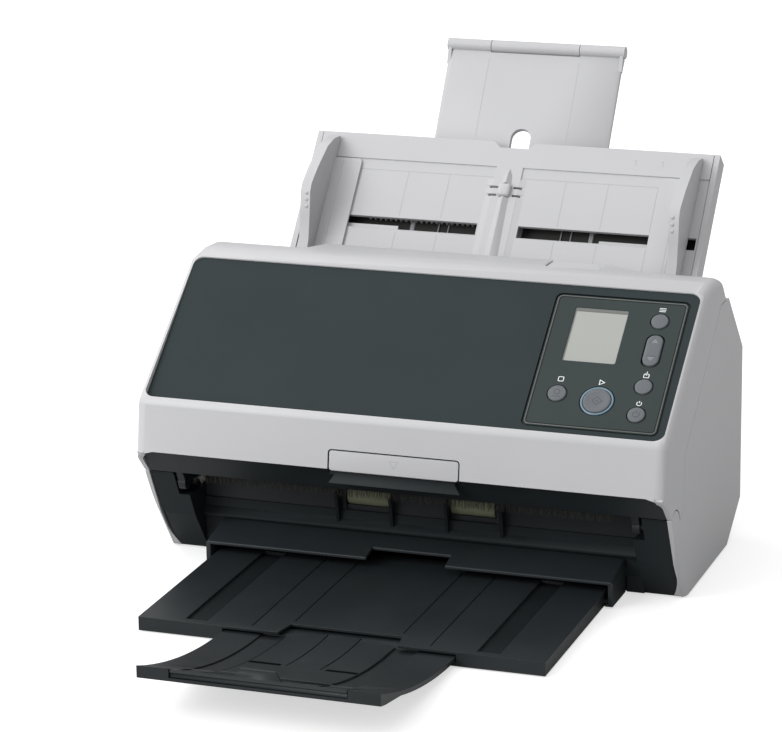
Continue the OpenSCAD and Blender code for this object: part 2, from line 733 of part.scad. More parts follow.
module chute_extension_2() color(shell_white) at_centre() on_ext() {
  difference() {
    slab(ext2_hw - 2 * air, [-ext_hidden + 2, ext_up], [ext2_h, ext2_h + ext2_t]);
    grip_hole();
  }
  rod([ext_up, -0.5], bar_r, -ext2_hw, ext2_hw);
}

// Feeder cover

band_a = atan2(band_high.y - band_low.y, band_high.x - band_low.x);
function band_pt(u, d = 0) = along(band_low, band_a, u, -d);
tail_a = atan2(cover_tail.y - cover_back.y, cover_tail.x - cover_back.x);
flap_t = 2.2;
flap_pin_r = 0.8;
flap_pin = band_pt(flap_h - 1.1, 1.3);
flap_stub = 2.5;
tab_x = [50, 80.5];
tab_c = [cover_back.x - 5.3, ridge_h - 3.6];
tab_r = 2.2;
tab_pin_r = 1.2;
lip_hw = chute_hw - 38;
lip_y = ridge_back.x + 13.5;

module cover_block() {
  hull() both_sides() for (a = [0 : 18 : 90])
    yz(hw - edge_r + edge_r * sin(a) - 0.01, hw - edge_r + edge_r * sin(a))
      offset(delta = -edge_r * (1 - cos(a))) polygon([
        band_pt(-40), band_high, slope_top, ridge_front, ridge_back, cover_back,
        along(cover_back, tail_a, 90), [band_low.x, 28]
      ]);
}

// Ledge behind the middle of the ridge that carries the release tab
module cover_lip() hull() {
  yz(-lip_hw, lip_hw - 3) polygon([
    [ridge_back.x - 2, ridge_h - 0.95], [lip_y - 0.6, ridge_h - 0.95], [lip_y, ridge_h - 1.6],
    [lip_y, ridge_h - 5.2], [cover_back.x + 2, ridge_h - 7.3], [ridge_back.x - 2, ridge_h - 2.8]
  ]);
  yz(-lip_hw - 10, lip_hw + 22) polygon([
    [ridge_back.x - 2, ridge_h - 1.15], [ridge_back.x + 1, ridge_h - 1.5],
    [cover_back.x - 0.1, ridge_h - 4.3], [cover_back.x + 2, ridge_h - 7.3],
    [ridge_back.x - 2, ridge_h - 2.8]
  ]);
}

module cover_shape() {
  offset(delta = -seam_gap) polygon([
    [-20, band_bottom - seam_gap], band_low, seam_front, seam_low, seam_heel, seam_bend, seam_top,
    [cover_tail.x + 40, seam_top.y], [cover_tail.x + 40, ridge_h + 20], [-20, ridge_h + 20]
  ]);
}

module cover_hollow() {
  yz(-in_hw, in_hw) polygon([
    band_pt(-40, wall), band_pt(28, wall + 0.2), slope_pt(4, -panel_sink - panel_t - wall),
    slope_pt(104, -panel_t - wall - 1), [ridge_front.x, ridge_h - wall - 0.6],
    [ridge_back.x + 2, ridge_h - wall - 2], along(cover_back, tail_a, 3, -wall - 0.4),
    along(cover_back, tail_a, 60, -wall - 0.4), [40, 20]
  ]);
}

op_at = [op_x, op_edge + 0.2 + op_len / 2];
op_low = op_at.y - op_len / 2;
op_left = op_x - op_w / 2;
function op_pt(x, v) = [op_left + x * op_w / 73, op_low + v * op_len / 86.5];
screen_at = op_pt(26.4, 61);
menu_at = op_pt(59.4, 73.2);
rocker_at = op_pt(59.7, 53.8);
feed_key_at = op_pt(59.8, 30.1);
power_at = op_pt(59.8, 11.8);
stop_at = op_pt(14.3, 21.3);
scan_at = op_pt(36.9, 18.5);
stop_d = key_d + 0.6;
rocker_w = 9.4;
rocker_len = 20.6;
rocker_gap = key_gap + 0.3;
ring_in = scan_d + 2 * key_gap;
ring_out = ring_in + 2 * ring_w;
key_up = 0.9;
flange_w = 1.2;
board_z = -panel_t - 2.7 - key_travel;
pivot_r = 0.75;

module plate_at(p, z0, z1) { translate([p.x, p.y, z0]) linear_extrude(z1 - z0) children(); }

// Web that rounds an upper corner of the exit
web_t = 1.2;
seam_a = atan2(seam_front.y - band_low.y, seam_front.x - band_low.x);
module corner_web() on_plane([band_low.x + 1, band_low.y], seam_a) linear_extrude(web_t) difference() {
  translate([in_hw - corner_r, -1.2]) square([corner_r + 1, corner_r + 1.2]);
  translate([in_hw - corner_r, corner_r]) circle(corner_r);
}

// Relief that lifts the band's lower edge between the exit's round corners
module band_relief() hull() {
  yz(corner_r - in_hw, in_hw - corner_r) polygon([
    band_pt(-4, -1), band_pt(1.2, -1), band_pt(1.2, 0), band_pt(3.4, wall + 0.7), band_pt(-4, wall + 0.7)
  ]);
  yz(corner_r / 3 - in_hw, in_hw - corner_r / 3) polygon([
    band_pt(-4, -1), band_pt(-0.4, -1), band_pt(-0.4, wall + 0.7), band_pt(-4, wall + 0.7)
  ]);
}

module feeder_cover() color(shell_white) at_centre() difference() {
  union() {
    difference() {
      intersection() {
        cover_block();
        yz(-hw - 1, hw + 1) cover_shape();
      }
      cover_hollow();
      yz(-hw - 1, hw + 1) translate([hinge_y, hinge_z]) circle(knuckle_r + seam_gap);
    }
    for (x = [tab_x[0] - 4, tab_x[1]])
      box([x, x + 4], [tab_c.x - 5, tab_c.x + 4], [tab_c.y - 5, tab_c.y + 1]);
    both_sides() corner_web();
    cover_lip();
  }
  on_panel() {
    plate_at([0, panel_len / 2], -panel_t, 30) rounded(2 * panel_hw + air, panel_len + air, panel_r);
    plate_at(op_at, -20, 10) rounded(op_w - 6, op_len - 6, 2);
  }
  band_relief();
  yz(-flap_hw, flap_hw) polygon([
    band_pt(-20, -6), band_pt(flap_h + 0.5, -6), band_pt(flap_h + 0.5, 8), band_pt(-20, 8)
  ]);
  rod(flap_pin, flap_pin_r + run_gap, -flap_hw - flap_stub - air, flap_hw + flap_stub + air);
  box(tab_x, [tab_c.x - tab_r - air, tab_c.x + 2.8], [tab_c.y - 9, ridge_h + 9]);
  box(tab_x, [tab_c.x + 2.3, tab_c.x + 30], [tab_c.y + 0.4, ridge_h + 9]);
  rod(tab_c, tab_pin_r + run_gap, tab_x[0] - 2.8, tab_x[1] + 2.8);
}

module front_panel() color(panel_dark) at_centre() on_panel() difference() {
  plate_at([0, panel_len / 2], -panel_t, 0) rounded(2 * panel_hw, panel_len, panel_r);
  plate_at(op_at, -panel_t - eps, eps)
    rounded(op_w + 2 * op_groove + air, op_len + 2 * op_groove + air, 3 + op_groove);
}

module operator_panel() color(panel_dark) at_centre() on_panel() difference() {
  union() {
    plate_at(op_at, -panel_t, 0) rounded(op_w, op_len, 3);
    plate_at(op_at, -panel_t, -panel_t / 2)
      rounded(op_w + 2 * op_groove, op_len + 2 * op_groove, 3 + op_groove);
  }
  plate_at(screen_at, -panel_t - eps, eps) rounded(screen_w, screen_len, 1);
  plate_at(rocker_at, -panel_t - eps, eps)
    rounded(rocker_w + 2 * rocker_gap, rocker_len + 2 * rocker_gap, rocker_w / 2 - 0.2);
  for (p = [menu_at, feed_key_at, power_at])
    plate_at(p, -panel_t - eps, eps) circle(d = key_d + 2 * key_gap);
  plate_at(stop_at, -panel_t - eps, eps) circle(d = stop_d + 2 * key_gap);
  plate_at(scan_at, -panel_t - eps, eps) circle(d = ring_out);
}

module screen_window() color("#b9bab4") at_centre() on_panel()
  plate_at(screen_at, -panel_t, -0.4) rounded(screen_w, screen_len, 1);

module panel_board() color(board_green) at_centre() on_panel() {
  plate_at(op_at, board_z - 1.6, board_z) rounded(op_w - 10, op_len - 10, 1);
  plate_at(screen_at, board_z, -panel_t) square([screen_w + 4, screen_len + 4], center = true);
  for (p = [op_pt(8, 8), op_pt(8, 40), op_pt(48, 78.5), op_pt(48, 40)])
    plate_at(p, board_z, -panel_t) circle(d = 4);
  for (p = [menu_at, feed_key_at, power_at, stop_at, scan_at])
    plate_at(p, board_z, board_z + 1.2) square(6, center = true);
}

module key(p, d) {
  plate_at(p, -panel_t - 0.5, key_up) circle(d = d);
  plate_at(p, -panel_t - 1.1, -panel_t - 0.1) circle(d = d + 2 * flange_w);
}

module menu_button() color(key_grey) at_centre() on_panel() key(menu_at, key_d);
module manual_feed_button() color(key_grey) at_centre() on_panel() key(feed_key_at, key_d);
module power_button() color(key_grey) at_centre() on_panel() key(power_at, key_d);
module stop_button() color(key_grey) at_centre() on_panel() key(stop_at, stop_d);
module scan_button() color(key_grey) at_centre() on_panel() key(scan_at, scan_d);

module scan_ring() color("#8fa3b4") at_centre() on_panel() plate_at(scan_at, -panel_t, 0.3) difference() {
  circle(d = ring_out);
  circle(d = ring_in);
}

module rocker_button() color(key_grey) at_centre() on_panel() {
  plate_at(rocker_at, -panel_t - 0.5, key_up) rounded(rocker_w, rocker_len, rocker_w / 2 - 0.2);
  plate_at(rocker_at, -panel_t - 1.5, -panel_t - 0.3) square([rocker_w - 2, 5], center = true);
  translate([rocker_at.x - rocker_w / 2 - 1.7, rocker_at.y, -panel_t - pivot_r - 0.2])
    rotate([0, 90, 0]) cylinder(r = pivot_r, h = rocker_w + 3.4);
}

feed_idler_c = path_pt(feed_at, idler_r + nip);
exit_idler_c = path_pt(0, idler_r + nip);
brake_c = path_pt(pick_at, brake_r + nip);
idler_pin_r = 2;
brake_hw = 20;
mouth = [hinge_y - 2.5, hinge_z + 7.5];
fascia_top = [band_low.x + 3.4, band_low.y + 1.8];
fascia_low = [hinge_y - 8.3, hinge_z + 7.7];
fascia_a = atan2(fascia_low.y - fascia_top.y, fascia_low.x - fascia_top.x);
function fascia_pt(p, deep) = along(p, fascia_a, 0, deep);
fascia_t = 2.2;
guide_end = pick_at - 7;

module ear(c, x, t0, t1) {
  both_sides() yz(x, x + 2.4) difference() {
    union() {
      polygon([
        path_pt(t0, upper_face + 0.5), path_pt(t1, upper_face + 0.5), path_pt(t1, upper_face + guide_t + 2),
        c, path_pt(t0, upper_face + guide_t + 2)
      ]);
      translate(c) circle(idler_pin_r + 2);
    }
    translate(c) circle(idler_pin_r + run_gap);
  }
}

feed_ear = feed_x + feed_len / 2 + 2;
exit_ear = exit_x + exit_len / 2 + 2;
brake_ear = brake_hw + 2;

// Side arm of the upper guide, from the hinge pin up to the cover
module guide_arm() {
  difference() {
    union() {
      polygon([
        [hinge_y - 3, hinge_z], fascia_pt(fascia_low, 1), fascia_pt(fascia_top, 1),
        slope_pt(6, -panel_sink - panel_t - wall),
        slope_pt(96, -panel_t - wall - 1.2), [ridge_front.x + 6, ridge_h - 22],
        path_pt(guide_end - 2, upper_face + 0.6), path_pt(-3, upper_face + 0.6), [hinge_y + 3, hinge_z]
      ]);
      translate([hinge_y, hinge_z]) circle(hinge_pin_d / 2 + 2.2);
    }
    translate([hinge_y, hinge_z]) circle(hinge_pin_d / 2 + run_gap);
  }
}

module upper_guide() color(charcoal) at_centre() {
  difference() {
    union() {
      on_path() slab(arm_x + 1, [-4, guide_end], [upper_face, upper_face + guide_t]);
      yz(-arm_x - 1.5, arm_x + 1.5) polygon([
        mouth, [mouth.x + 5, mouth.y], path_pt(-2, upper_face + 0.5), path_pt(-2, upper_face + guide_t - 0.4),
        [mouth.x + 2, mouth.y + 2.4], fascia_pt(fascia_low, fascia_t), fascia_low
      ]);
      yz(air - in_hw, in_hw - air) polygon([
        fascia_top, fascia_low, fascia_pt(fascia_low, fascia_t), fascia_pt(fascia_top, fascia_t)
      ]);
      both_sides() yz(arm_x, arm_x + arm_t) guide_arm();
    }
    on_path() {
      roller_holes(exit_x, exit_len, 0, idler_r);
      roller_holes(feed_x, feed_len, feed_at, idler_r);
      slab(frame_x - 14, [glass_at - glass_w / 2, glass_at + glass_w / 2], [-9, 9]);
    }
    on_panel() box([op_left, hw], [op_low, op_low + op_len], [board_z - 6, 9]);
    slab(flap_hw + 2, [-9, fascia_top.x + 3.3], [mouth.y, band_top]);
  }
  ear(exit_idler_c, exit_ear, -3, 10);
  ear(feed_idler_c, feed_ear, feed_at - 8, feed_at + 8);
  ear(brake_c, brake_ear, guide_end - 11, guide_end - 1);
}

module upper_glass() color("#9fb4b8") at_centre() on_path()
  slab(frame_x - 14, [glass_at - glass_w / 2, glass_at + glass_w / 2], [upper_face, upper_face + guide_t]);

module upper_sensor() color("#33383a") at_centre() on_path()
  translate([0, 0, upper_face + guide_t]) sensor_box();

module idler_pair(c, x, len, end) {
  rod(c, idler_pin_r, -end, end);
  for (s = [-1, 1]) rod(c, idler_r, s * x - len / 2, s * x + len / 2);
}

module brake_roller() color(rubber_dark) at_centre() {
  rod(brake_c, idler_pin_r, -brake_ear - 4, brake_ear + 4);
  rod(brake_c, brake_r, -brake_hw, brake_hw);
}

module feed_idlers() color("#d8d4c8") at_centre() idler_pair(feed_idler_c, feed_x, feed_len, feed_ear + 4);
module exit_idlers() color("#d8d4c8") at_centre()
  idler_pair(exit_idler_c, exit_x, exit_len - 6, exit_ear + 4);

brush_hw = arm_x - 9.6;
brush_h = 5.4;
brush_step = 2 * brush_hw / bristles;
bristle = [[0.12, -2.6], [0.3, -2.4 - brush_h], [0.6, -2.4 - brush_h], [0.78, -2.6]];

module static_brush() color("#1b1d1e") at_centre() translate([0, mouth.x + 3, mouth.y]) rotate([90, 0, 0]) {
  translate([-brush_hw - 1, -2.4, 0]) cube([2 * brush_hw + 2, 2.4, 2]);
  translate([0, 0, 0.7]) linear_extrude(0.6) polygon(concat(
    [[brush_hw, -1.4], [-brush_hw, -1.4]],
    [for (k = [0 : bristles - 1], p = bristle) [-brush_hw + (k + p.x) * brush_step, p.y]]
  ));
}

module release_tab() color(shell_white) at_centre() difference() {
  union() {
    rod(tab_c, tab_r, tab_x[0] + air, tab_x[1] - air);
    rod(tab_c, tab_pin_r, tab_x[0] - 2.5, tab_x[1] + 2.5);
    yz(tab_x[0] + air, tab_x[1] - air) polygon([
      [tab_c.x, tab_c.y + tab_r], [tab_c.x + 12.6, tab_c.y + tab_r - 0.1], [tab_c.x + 13.2, tab_c.y + 1.5],
      [tab_c.x + 12.6, tab_c.y + 0.9], [tab_c.x, tab_c.y + 0.9]
    ]);
  }
  translate([0, 0, tab_c.y - 9]) linear_extrude(20) {
    polygon([[tab_x[1] + 1, tab_c.x + 2.9], [tab_x[1] - 7, tab_c.x + 16], [tab_x[1] + 1, tab_c.x + 16]]);
    polygon([[tab_x[0] - 1, tab_c.x + 3.2], [tab_x[0] + 2.4, tab_c.x + 16], [tab_x[0] - 1, tab_c.x + 16]]);
  }
}

module exit_flap() color(shell_white) at_centre() {
  yz(-flap_hw + air, flap_hw - air) polygon([
    band_pt(0.2, 0.2), band_pt(flap_h - 0.9, 0.2), band_pt(flap_h - 0.9, 0.2 + flap_t),
    band_pt(0.2, 0.2 + flap_t)
  ]);
  rod(flap_pin, flap_pin_r, -flap_hw - flap_stub, flap_hw + flap_stub);
}

module flap_lip() color(charcoal) at_centre() yz(-flap_hw + 2, flap_hw - 2) polygon([
  band_pt(-6.4, flap_t + 0.6), band_pt(-0.6, flap_t + 0.2), band_pt(4, flap_t + 0.2),
  band_pt(4, flap_t + 1.6),
  band_pt(-6.4, flap_t + 2)
]);

// Stacker

runner_z = [foot_h + lip_t + 0.2, foot_h + lip_t + 2];
rail_x = out_hw + 0.5;
rail_end = out_back + out_travel + 4;
line_z = tray_top - 0.5;
line_x = [out_hw - 33.6, out_hw - 14.6];
line_y = [-tray_reach + 18, -tray_reach + 5];
line_w = 0.8;
trough_x = [tray_hw - 37.7, tray_hw - 25.2];
trough_y = [-tray_reach + 4.6, hood_y + 11];
trough_h = 1.6;
notch_d = 13.4;

module stacker_tray() color(charcoal) at_centre() difference() {
  union() {
    slab(tray_hw, [-tray_reach, tray_back], [tray_top - deck_t, tray_top]);
    both_sides() {
      box([tray_hw - 2, tray_hw], [-tray_reach, tray_back], [tray_low, tray_top]);
      box([rail_x + 1.5, tray_hw], [-tray_reach, -tray_reach + 2], [tray_low, tray_top]);
      box([tray_hw - 1, channel_hw - air], [hood_y + 1, tray_back], runner_z);
      box([rail_x, rail_x + 1.5], [-tray_reach, rail_end], [tray_low, tray_top]);
      box([rail_x - 5, rail_x + 1.5], [-tray_reach, rail_end], [tray_low, tongue_top - out_t - 0.2]);
      box([trough_x[0] - 1, trough_x[1] + 1], [trough_y[0] - 1, trough_y[1] + 1],
        [tray_top - deck_t - trough_h, tray_top - eps]);
    }
  }
  translate([0, -tray_reach, -eps]) linear_extrude(20)
    polygon([[-33, -1], [33, -1], [32.5, 3], [30.5, notch_d], [-30.5, notch_d], [-32.5, 3]]);
  both_sides() {
    box(trough_x, trough_y, [tray_top - trough_h, tray_top + 9]);
    for (k = [0, 1])
      box([line_x[k] - line_w / 2, line_x[k] + line_w / 2], [line_y[k], hood_y + 11], [line_z, tray_top + 9]);
  }
}

stop_chord = norm([stop_len, out_z(-out_reach) - out_z(stop_y)]) - 0.8;
stop_pin_r = 0.8;
stop_pin_h = -0.9;
out_lip = 6.4;
module on_stop() { on_plane([stop_y, out_z(stop_y)], stop_a) children(); }
stop_front = along([stop_y, out_z(stop_y)], stop_a, -stop_chord);
skirt_t = 1.6;
skirt_h = 4.2;
out_trough = [stop_hw - 16, stop_hw - 3];
finger_x = [12, 29];
finger_y = stop_y + 39;

// Groove of one depth along the curve of the extension
module out_groove(x, deep, y0, y1) {
  yz(x[0], x[1]) polygon(concat(
    [for (k = [0 : 12]) let (y = y0 + k * (y1 - y0) / 12) [y, out_z(y) - deep]], [[y1, 60], [y0, 60]]
  ));
}

module stacker_extension() color(charcoal) at_centre() difference() {
  yz(-out_hw, out_hw) polygon(concat(
    [[out_back, tongue_top - out_t], [out_back, tongue_top]],
    [for (k = [0 : 16]) let (y = out_from - k * (out_reach + out_from) / 16) [y, out_z(y)]],
    [[-out_reach, out_z(-out_reach) - out_lip], [-out_reach + 6, out_z(-out_reach) - out_lip - 1.4]],
    [for (k = [12 : -1 : 0]) let (y = out_from - k * (out_reach + out_from) / 16) [y, out_z(y) - out_t]]
  ));
  on_stop() {
    slab(stop_hw + air, [-stop_chord - 9, 1.4], [-stop_t - 0.2, 9]);
    rod([0, stop_pin_h], stop_pin_r + run_gap, -stop_hw - 3, stop_hw + 3);
  }
  slab(stop_hw + 2 * air, [-out_reach - 1, stop_front.x + skirt_t + 2 * air],
    [stop_front.y - skirt_h - air, 60]);
  both_sides() {
    out_groove(out_trough, 0.9, stop_y - 3, out_from + 1.3);
    out_groove([line_w * 11, line_w * 12], 0.5, finger_y + 2, out_from + 9);
    box(finger_x, [finger_y, finger_y + 4], [-eps, 40]);
  }
}

module paper_stop() color(charcoal) at_centre() {
  on_stop() stop_leaf();
  yz(-stop_hw, stop_hw) polygon([
    stop_front, [stop_front.x, stop_front.y - skirt_h], [stop_front.x + skirt_t, stop_front.y - skirt_h],
    [stop_front.x + skirt_t, stop_front.y - 0.8]
  ]);
  translate([0, stop_front.x + skirt_t, stop_front.y]) rotate([90, 0, 0]) linear_extrude(skirt_t)
    polygon([[-12, -2], [12, -2], [12, 0], [9.3, 4.6], [-9.3, 4.6], [-12, 0]]);
}

// Hinged leaf of the paper stop
module stop_leaf() {
  difference() {
    slab(stop_hw, [-stop_chord, 0], [-stop_t, 0]);
    both_sides() box(out_trough, [skirt_t - stop_chord, eps], [-0.6, 9]);
    slab(8, [-stop_chord + 4, -stop_chord + 9], [-stop_t - eps, eps]);
  }
  rod([0, stop_pin_h], stop_pin_r, -stop_hw - 2.6, stop_hw + 2.6);
}

// Drawing
bottom_plate();
rubber_feet();
left_side_cover();
right_side_cover();
rear_cover();
exit_bezel();
stacker_hood();
left_frame();
right_frame();
hinge_pins();
case_screws();
lower_guide();
lower_glass();
lower_sensor();
shaft_bushes();
exit_shaft();
exit_rollers();
feed_shaft();
feed_rollers();
pick_shaft();
pick_rollers();
drive_motor();
motor_pulley();
drive_belt();
main_board();
power_inlet();
data_sockets();
chute_plate();
chute_back();
chute_clip();
guide_pinion();
left_guide();
right_guide();
chute_extension();
chute_extension_2();
feeder_cover();
front_panel();
operator_panel();
screen_window();
panel_board();
menu_button();
rocker_button();
manual_feed_button();
power_button();
stop_button();
scan_button();
scan_ring();
upper_guide();
upper_glass();
upper_sensor();
brake_roller();
feed_idlers();
exit_idlers();
static_brush();
release_tab();
exit_flap();
flap_lip();
stacker_tray();
stacker_extension();
paper_stop();
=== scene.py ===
"""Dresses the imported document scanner: finishes, softened edges, fine detail, studio and camera."""

import json
import logging
import math
from dataclasses import dataclass, field
from enum import Enum
from typing import Callable, Sequence, Union

import bmesh
import bpy
from mathutils import Matrix, Vector


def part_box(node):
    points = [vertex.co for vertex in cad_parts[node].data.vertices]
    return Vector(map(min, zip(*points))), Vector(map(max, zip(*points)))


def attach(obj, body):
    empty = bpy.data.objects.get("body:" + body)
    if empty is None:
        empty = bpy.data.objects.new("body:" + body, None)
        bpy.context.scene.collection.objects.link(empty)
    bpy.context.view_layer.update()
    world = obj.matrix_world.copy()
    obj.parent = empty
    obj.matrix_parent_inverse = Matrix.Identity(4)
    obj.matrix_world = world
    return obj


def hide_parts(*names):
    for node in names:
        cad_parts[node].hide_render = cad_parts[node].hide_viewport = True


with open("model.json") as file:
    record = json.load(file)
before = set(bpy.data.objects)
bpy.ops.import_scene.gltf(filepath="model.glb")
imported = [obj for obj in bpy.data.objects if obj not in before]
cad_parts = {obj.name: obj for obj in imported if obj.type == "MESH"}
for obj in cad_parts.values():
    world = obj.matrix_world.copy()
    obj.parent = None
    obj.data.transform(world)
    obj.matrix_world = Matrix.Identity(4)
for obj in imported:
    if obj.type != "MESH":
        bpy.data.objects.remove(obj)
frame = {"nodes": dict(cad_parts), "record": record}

LOG = logging.getLogger("scanner")
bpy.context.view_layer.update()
MM = 0.001
NEAR = 0.12  # millimetres from a picked edge to the face that it should lie on
MERGE_GAP = 2e-6  # metres between points that are one
FLAT_ANGLE = math.radians(0.8)  # faces that turn less are one
SOFT_ANGLE = math.radians(32.0)  # edges of a node that turn more are rounded
SMOOTH_ANGLE = math.radians(35.0)  # edges of a new piece that turn more stay sharp
ACROSS = Vector((1, 0, 0))
Colour = tuple[float, float, float]
Point = tuple[float, float]
Triple = tuple[float, float, float]
Value = Union[float, int, tuple, "Wire"]
Socket = bpy.types.NodeSocket
Sockets = bpy.types.bpy_prop_collection


def put(tree: bpy.types.NodeTree, kind: str, settings: dict, inputs: dict) -> Sockets:
    """Adds one node to a tree.

    Args:
        tree: the tree.
        kind: the node's type.
        settings: attributes that are set first.
        inputs: values or sockets by name or number.

    Returns:
        The node's outputs.
    """
    node = tree.nodes.new(kind)
    for key, value in settings.items():
        setattr(node, key, value)
    for key, value in inputs.items():
        if isinstance(value, Socket):
            tree.links.new(value, node.inputs[key])
        else:
            node.inputs[key].default_value = value
    return node.outputs


def show(name: str, data: bpy.types.ID) -> bpy.types.Object:
    """Puts a new object into the scene.

    Args:
        name: its name.
        data: its mesh, camera or light.

    Returns:
        The object.
    """
    thing = bpy.data.objects.new(name, data)
    bpy.context.scene.collection.objects.link(thing)
    return thing


class Wire:
    """One output socket of a shader graph that takes part in arithmetic."""

    def __init__(self, graph: "Graph", socket: Socket) -> None:
        """Keeps the graph and the socket."""
        self.graph, self.socket = graph, socket

    def _math(self, operation: str, first: Value, second: Value) -> "Wire":
        """Adds one Math node and returns its result."""
        return self.graph.add("ShaderNodeMath", {"operation": operation}, {0: first, 1: second})

    def __add__(self, other: Value) -> "Wire":
        """Sum."""
        return self._math("ADD", self, other)

    def __radd__(self, other: Value) -> "Wire":
        """Sum with a number on the left."""
        return self._math("ADD", other, self)

    def __mul__(self, other: Value) -> "Wire":
        """Product."""
        return self._math("MULTIPLY", self, other)

    def smooth(self, low: float, high: float) -> "Wire":
        """Smooth step from 0 at low to 1 at high."""
        inputs = {"Value": self, "From Min": low, "From Max": high}
        return self.graph.add("ShaderNodeMapRange", {"interpolation_type": "SMOOTHSTEP"}, inputs)


class Graph:
    """Node tree of one material."""

    def __init__(self, name: str) -> None:
        """Makes a material with its output node and its object coordinates, which are in metres.

        Args:
            name: name of the material.
        """
        self.material = bpy.data.materials.new(name)
        self.material.use_nodes = True
        self.tree = self.material.node_tree
        self.tree.nodes.clear()
        self.output = self.tree.nodes.new("ShaderNodeOutputMaterial")
        self.place = self.add("ShaderNodeTexCoord", output="Object")

    def add(
        self, kind: str, settings: dict | None = None, inputs: dict | None = None, output: int | str = 0
    ) -> Wire:
        """Adds any node, with values or wires as its inputs, and returns the wire of one output."""
        sockets = {key: v.socket if isinstance(v, Wire) else v for key, v in (inputs or {}).items()}
        return Wire(self, put(self.tree, kind, settings or {}, sockets)[output])

    def noise(self, size: float, detail: float, place: Wire | None = None) -> Wire:
        """Noise, about 0.3 to 0.7, with blotches of about size millimetres and detail finer layers."""
        inputs = {"Vector": place or self.place, "Scale": 1.0 / (size * MM), "Detail": detail}
        return self.add("ShaderNodeTexNoise", inputs=inputs, output="Fac")

    def blend(self, factor: Value, first: Value, second: Value) -> Wire:
        """Mixes two colours: the first at factor 0, the second at 1."""
        low, high = ((*c, 1.0) if isinstance(c, tuple) else c for c in (first, second))
        return self.add("ShaderNodeMix", {"data_type": "RGBA"}, {0: factor, 6: low, 7: high}, output=2)

    def bump(self, height: Wire, depth: float) -> Wire:
        """Normal of a field of heights from 0 to 1, a full step of which is depth millimetres."""
        inputs = {"Height": height, "Distance": depth * MM, "Strength": 1.0}
        return self.add("ShaderNodeBump", inputs=inputs)

    def surface(self, **sockets: Value) -> bpy.types.Material:
        """Ends the graph in one Principled shader.

        Args:
            sockets: values or wires by socket name with _ for a space.

        Returns:
            The material.
        """
        inputs = {key.replace("_", " "): value for key, value in sockets.items()}
        if isinstance(inputs["Base Color"], tuple):
            inputs["Base Color"] = (*inputs["Base Color"], 1.0)
        shader = self.add("ShaderNodeBsdfPrincipled", inputs=inputs)
        self.tree.links.new(shader.socket, self.output.inputs["Surface"])
        return self.material


@dataclass(frozen=True)
class Finish:
    """Finish of one main colour; sizes in millimetres."""

    name: str
    colour: Colour

    def tone(self, factor: float) -> Colour:
        """The main colour times a factor."""
        return tuple(min(1.0, c * factor) for c in self.colour)

    def material(self) -> bpy.types.Material:
        """Builds the material."""
        raise NotImplementedError


@dataclass(frozen=True)
class Plastic(Finish):
    """Injection moulded plastic with a spark-eroded grain."""

    roughness: float
    grain: float
    depth: float
    mottle: float
    shine: float = 0.4
    coat: float = 0.0
    cloud: float = 45.0
    speck: float = 0.25

    def material(self) -> bpy.types.Material:
        """Fine grain over wide, faint clouds.

        Returns:
            The material.
        """
        graph = Graph(self.name)
        fine = graph.noise(self.grain, 3.0)
        cloud = graph.noise(self.cloud, 3.0).smooth(0.3, 0.7)
        dull, bright, light = (self.tone(1 + k * self.mottle) for k in (-1, 1, 2))
        colour = graph.blend(cloud, dull, bright)
        return graph.surface(
            Base_Color=graph.blend(fine.smooth(0.25, 0.75) * self.speck, colour, light),
            Roughness=self.roughness - 0.05 + cloud * 0.05 + fine * 0.08,
            Normal=graph.bump(fine, self.depth),
            Coat_Weight=self.coat,
            Specular_IOR_Level=self.shine,
        )


@dataclass(frozen=True)
class Rubber(Finish):
    """Ground rubber with a dull, slightly dusty face."""

    roughness: float = 0.7
    dust: float = 3.0
    skin: float = 0.35
    depth: float = 0.03

    def material(self) -> bpy.types.Material:
        """Blotches of dust over a fine skin.

        Returns:
            The material.
        """
        graph = Graph(self.name)
        dust = graph.noise(self.dust, 4.0).smooth(0.35, 0.75)
        return graph.surface(
            Base_Color=graph.blend(dust * 0.5, self.tone(0.9), self.tone(1.15)),
            Roughness=self.roughness + dust * 0.1,
            Normal=graph.bump(graph.noise(self.skin, 2.0), self.depth),
        )


@dataclass(frozen=True)
class DrawnMetal(Finish):
    """Steel with fine draw marks along X."""

    roughness: float = 0.3
    mark: float = 0.5
    depth: float = 0.01
    stretch: Triple = (0.02, 1.0, 1.0)

    def material(self) -> bpy.types.Material:
        """Noise drawn out along X.

        Returns:
            The material.
        """
        graph = Graph(self.name)
        drawn = graph.add("ShaderNodeMapping", inputs={"Vector": graph.place, "Scale": self.stretch})
        marks = graph.noise(self.mark, 3.0, drawn)
        return graph.surface(
            Base_Color=graph.blend(marks.smooth(0.3, 0.7), self.tone(0.88), self.colour),
            Metallic=1.0,
            Roughness=self.roughness + marks * 0.15,
            Normal=graph.bump(marks, self.depth),
        )


@dataclass(frozen=True)
class ClearGlass(Finish):
    """Flat glass over a dark sensor."""

    film: float = 12.0

    def material(self) -> bpy.types.Material:
        """A faint film that dulls the shine in blotches.

        Returns:
            The material.
        """
        graph = Graph(self.name)
        film = graph.noise(self.film, 3.0).smooth(0.4, 0.8)
        return graph.surface(Base_Color=self.colour, Roughness=0.04 + film * 0.06, Coat_Weight=0.6)


@dataclass(frozen=True)
class CircuitBoard(Finish):
    """Green solder mask with faint tracks."""

    depth: float = 0.04

    def material(self) -> bpy.types.Material:
        """Tracks from a brick pattern.

        Returns:
            The material.
        """
        graph = Graph(self.name)
        weave = {"Vector": graph.place, "Scale": 90.0, "Mortar Size": 0.03}
        tracks = graph.add("ShaderNodeTexBrick", {"offset": 0.37}, weave, "Fac")
        colour = graph.blend(tracks, self.colour, self.tone(1.7))
        return graph.surface(Base_Color=colour, Roughness=0.35, Normal=graph.bump(tracks, self.depth))


